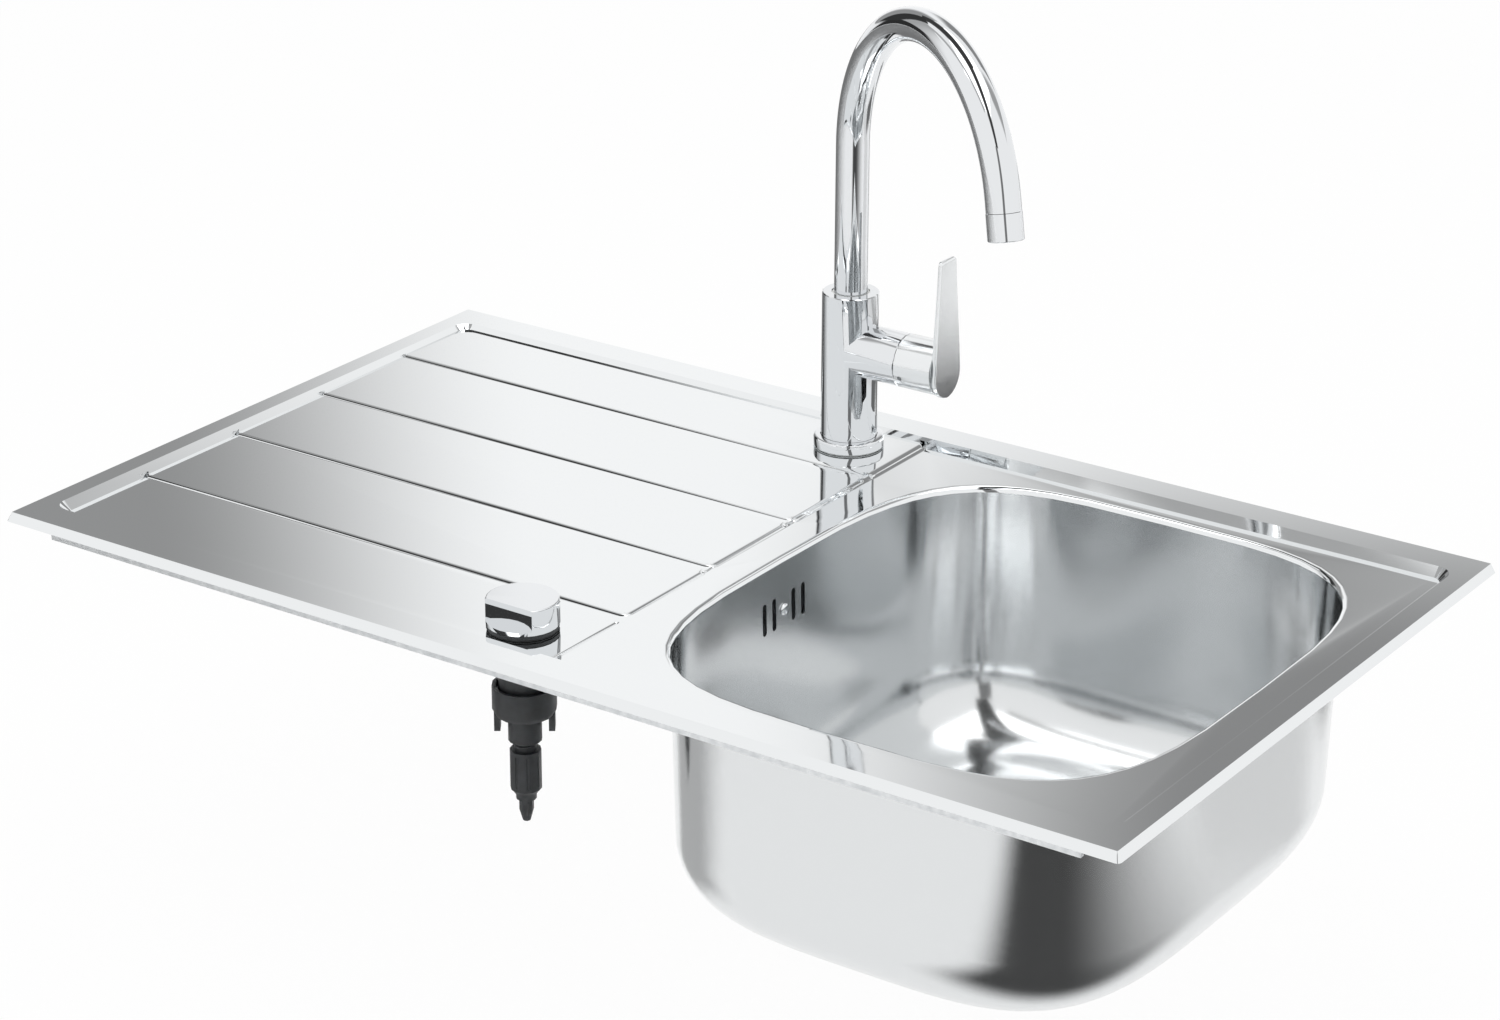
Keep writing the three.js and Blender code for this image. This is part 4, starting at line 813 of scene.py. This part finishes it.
def paintCard(tree, tone, cover):
    # tone where cover is 1, and clear where it is 0
    clear = addNode(tree, "ShaderNodeBsdfTransparent")
    glow = addNode(tree, "ShaderNodeEmission", {"Color": (1, 1, 1, 1), "Strength": tone})
    mix = addNode(tree, "ShaderNodeMixShader", {0: cover, 1: clear.outputs[0], 2: glow.outputs[0]})
    tree.links.new(mix.outputs[0], tree.nodes["Material Output"].inputs["Surface"])


# standing flags for the dark bands on the bowl and the tap: degrees, then metres
flags = {
    "cameraFlag": {
        "angle": 38, "away": 2.4, "width": 0.62, "low": -0.26, "high": 2.1,
        "tone": 0.2, "soft": 0.16,
    },
    "leftFlag": {
        "angle": -98, "away": 2.2, "width": 2.1, "low": 0.2, "high": 1.75,
        "tone": 0.42, "soft": 0.5,
    },
    "highFlag": {
        "angle": -109, "away": 1.95, "width": 0.62, "low": 0.3, "high": 1.7,
        "tone": 0.04, "soft": 0.12,
    },
    "lowFlag": {
        "angle": -98, "away": 2.1, "width": 1.0, "low": -0.02, "high": 0.46,
        "tone": 0.03, "soft": 0.2,
    },
    "rightFlag": {
        "angle": 143, "away": 2.3, "width": 1.8, "low": 1.3, "high": 3.0,
        "tone": 0.4, "soft": 0.3,
    },
}


def makeFlags():
    for name, v in flags.items():
        tree = standingCard(name, v)
        paintCard(tree, v["tone"], softSides(tree, v["soft"]))


# wedges that lie on the floor and open from a point (mm): edges are the angles where each begins,
# is full, starts to fade and ends, and near and far the metres from the point where it comes in
# and goes out. Each has its own lift off the floor (mm): cards at one height hide each other
wedges = {
    "cameraWedge": {
        "apex": (-70, 200), "edges": (28, 37.5, 52, 106), "near": (0.5, 0.6), "far": (3.2, 3.4),
        "tone": 0.07, "lift": 0.2,
    },
    "sideWedge": {
        "apex": (330, 60), "edges": (122, 136, 152, 166), "near": (0.15, 0.3), "far": (3.2, 3.4),
        "tone": 0.78, "lift": 0.35,
    },
    "leftWedge": {
        "apex": (-70, 200), "edges": (-150, -142, -108, -8), "near": (0.6, 0.7), "far": (3.2, 3.4),
        "tone": 0.2, "lift": 0.5,
    },
    "edgeWedge": {
        "apex": (-70, 200), "edges": (168, 172, 177, 180), "near": (0.4, 0.6), "far": (3.2, 3.4),
        "tone": 0.25, "lift": 0.65,
    },
    "cornerWedge": {
        "apex": (120, -150), "edges": (-112, -98, -72, -46), "near": (0.1, 0.2), "far": (1.0, 1.4),
        "tone": 0.5, "lift": 0.9,
    },
    "bladeWedge": {
        "apex": (42, 184), "edges": (124, 136, 160, 168), "near": (0.45, 0.6), "far": (0.85, 1.2),
        "tone": 0.16, "lift": 0.8,
    },
}
wedgeCard = 7                                                        # metres across, past every end


def makeWedges():
    for name, v in wedges.items():
        low = cadBox[0][2] - (studio["floorGap"] - v["lift"]) * mm
        tree = makeCard(name, place=(v["apex"][0] * mm, v["apex"][1] * mm, low), size=wedgeCard)
        coords = addNode(tree, "ShaderNodeTexCoord")
        split = addNode(tree, "ShaderNodeSeparateXYZ", {0: coords.outputs["Object"]})
        front = addNode(tree, "ShaderNodeMath", {
            0: split.outputs["Y"], 1: -1.0,
        }, operation="MULTIPLY")
        turn = addNode(tree, "ShaderNodeMath", {
            0: split.outputs["X"], 1: front.outputs[0],
        }, operation="ARCTAN2")
        away = addNode(tree, "ShaderNodeVectorMath", {
            0: coords.outputs["Object"],
        }, operation="LENGTH")
        begins, full, fades, ends = (math.radians(edge) for edge in v["edges"])
        cover = 1.0
        for value, start, end, before in (
            (turn.outputs[0], begins, full, 0.0), (turn.outputs[0], fades, ends, 1.0),
            (away.outputs["Value"], *v["near"], 0.0), (away.outputs["Value"], *v["far"], 1.0),
        ):
            edge = addNode(tree, "ShaderNodeMapRange", {
                "Value": value, "From Min": start, "From Max": end,
                "To Min": before, "To Max": 1.0 - before,
            }, interpolation_type="SMOOTHSTEP")
            both = addNode(tree, "ShaderNodeMath", {
                0: cover, 1: edge.outputs["Result"],
            }, operation="MULTIPLY")
            cover = both.outputs[0]
        paintCard(tree, v["tone"], cover)


# boards overhead, in metres: the front and back ones draw the black lines along the crown of the
# bright bent pipe, and the left one greys the step along the back rim
planks = {
    "frontPlank": {
        "ends": ((1.5, -1.61), (-0.07, 0.2)), "height": 1.95,
        "width": 0.66, "soft": 0.15, "tone": 0.05,
    },
    "backPlank": {
        "ends": ((0.11, 0.13), (-2.39, 1.14)), "height": 1.97,
        "width": 0.8, "soft": 0.15, "tone": 0.05,
    },
    "leftPlank": {
        "ends": ((0.3, -1.12), (-2.9, 0.25)), "height": 1.96,
        "width": 0.5, "soft": 0.2, "tone": 0.42,
    },
}


def makePlanks():
    for name, v in planks.items():
        start, end = (Vector(corner) for corner in v["ends"])
        along, middle = end - start, (start + end) / 2
        tree = makeCard(
            name, place=(middle.x, middle.y, v["height"]),
            turn=(0, 0, math.atan2(-along.x, along.y)), scale=(v["width"], along.length, 1),
        )
        paintCard(tree, v["tone"], softSides(tree, v["soft"] / v["width"]))


# a wide softbox behind the sink that the deck mirrors: bright in the middle, falling to both sides
backPanel = {
    "angle": 214.5, "away": 3.0, "width": 6.0, "low": 0.2, "high": 3.2, "bright": 1.04,
    # metres from its middle where each fall starts and ends, and how much darker it gets
    "left": (-0.3, -0.9, 0.72), "right": (-0.05, 0.72, 0.76),
    "rightHigh": (0.95, 1.5),                                        # heights where the right falls
}


def makeBackPanel():
    v = backPanel
    tree = standingCard("backPanel", v)
    coords = addNode(tree, "ShaderNodeTexCoord")
    split = addNode(tree, "ShaderNodeSeparateXYZ", {0: coords.outputs["Object"]})
    # seen from the sink, its own X runs from right to left
    side = addNode(tree, "ShaderNodeMath", {
        0: split.outputs["X"], 1: -v["width"],
    }, operation="MULTIPLY")
    rise = addNode(tree, "ShaderNodeMath", {
        0: split.outputs["Y"], 1: v["high"] - v["low"], 2: (v["high"] + v["low"]) / 2,
    }, operation="MULTIPLY_ADD")
    left = addNode(tree, "ShaderNodeMapRange", {
        "Value": side.outputs[0],
        "From Min": v["left"][0], "From Max": v["left"][1], "To Max": v["left"][2],
    }, interpolation_type="SMOOTHSTEP")
    right = addNode(tree, "ShaderNodeMapRange", {
        "Value": side.outputs[0],
        "From Min": v["right"][0], "From Max": v["right"][1], "To Max": v["right"][2],
    }, interpolation_type="SMOOTHSTEP")
    high = addNode(tree, "ShaderNodeMapRange", {
        "Value": rise.outputs[0], "From Min": v["rightHigh"][0], "From Max": v["rightHigh"][1],
    }, interpolation_type="SMOOTHSTEP")
    corner = addNode(tree, "ShaderNodeMath", {
        0: right.outputs["Result"], 1: high.outputs["Result"],
    }, operation="MULTIPLY")
    fall = addNode(tree, "ShaderNodeMath", {
        0: left.outputs["Result"], 1: corner.outputs[0],
    }, operation="ADD")
    level = addNode(tree, "ShaderNodeMath", {
        0: v["bright"], 1: fall.outputs[0],
    }, operation="SUBTRACT")
    glow = addNode(tree, "ShaderNodeEmission", {
        "Color": (1, 1, 1, 1), "Strength": level.outputs[0],
    })
    tree.links.new(glow.outputs[0], tree.nodes["Material Output"].inputs["Surface"])


makeFlags()
makeWedges()
makePlanks()
makeBackPanel()
print("cards and panel up:", len(flags) + len(wedges) + len(planks) + 1)
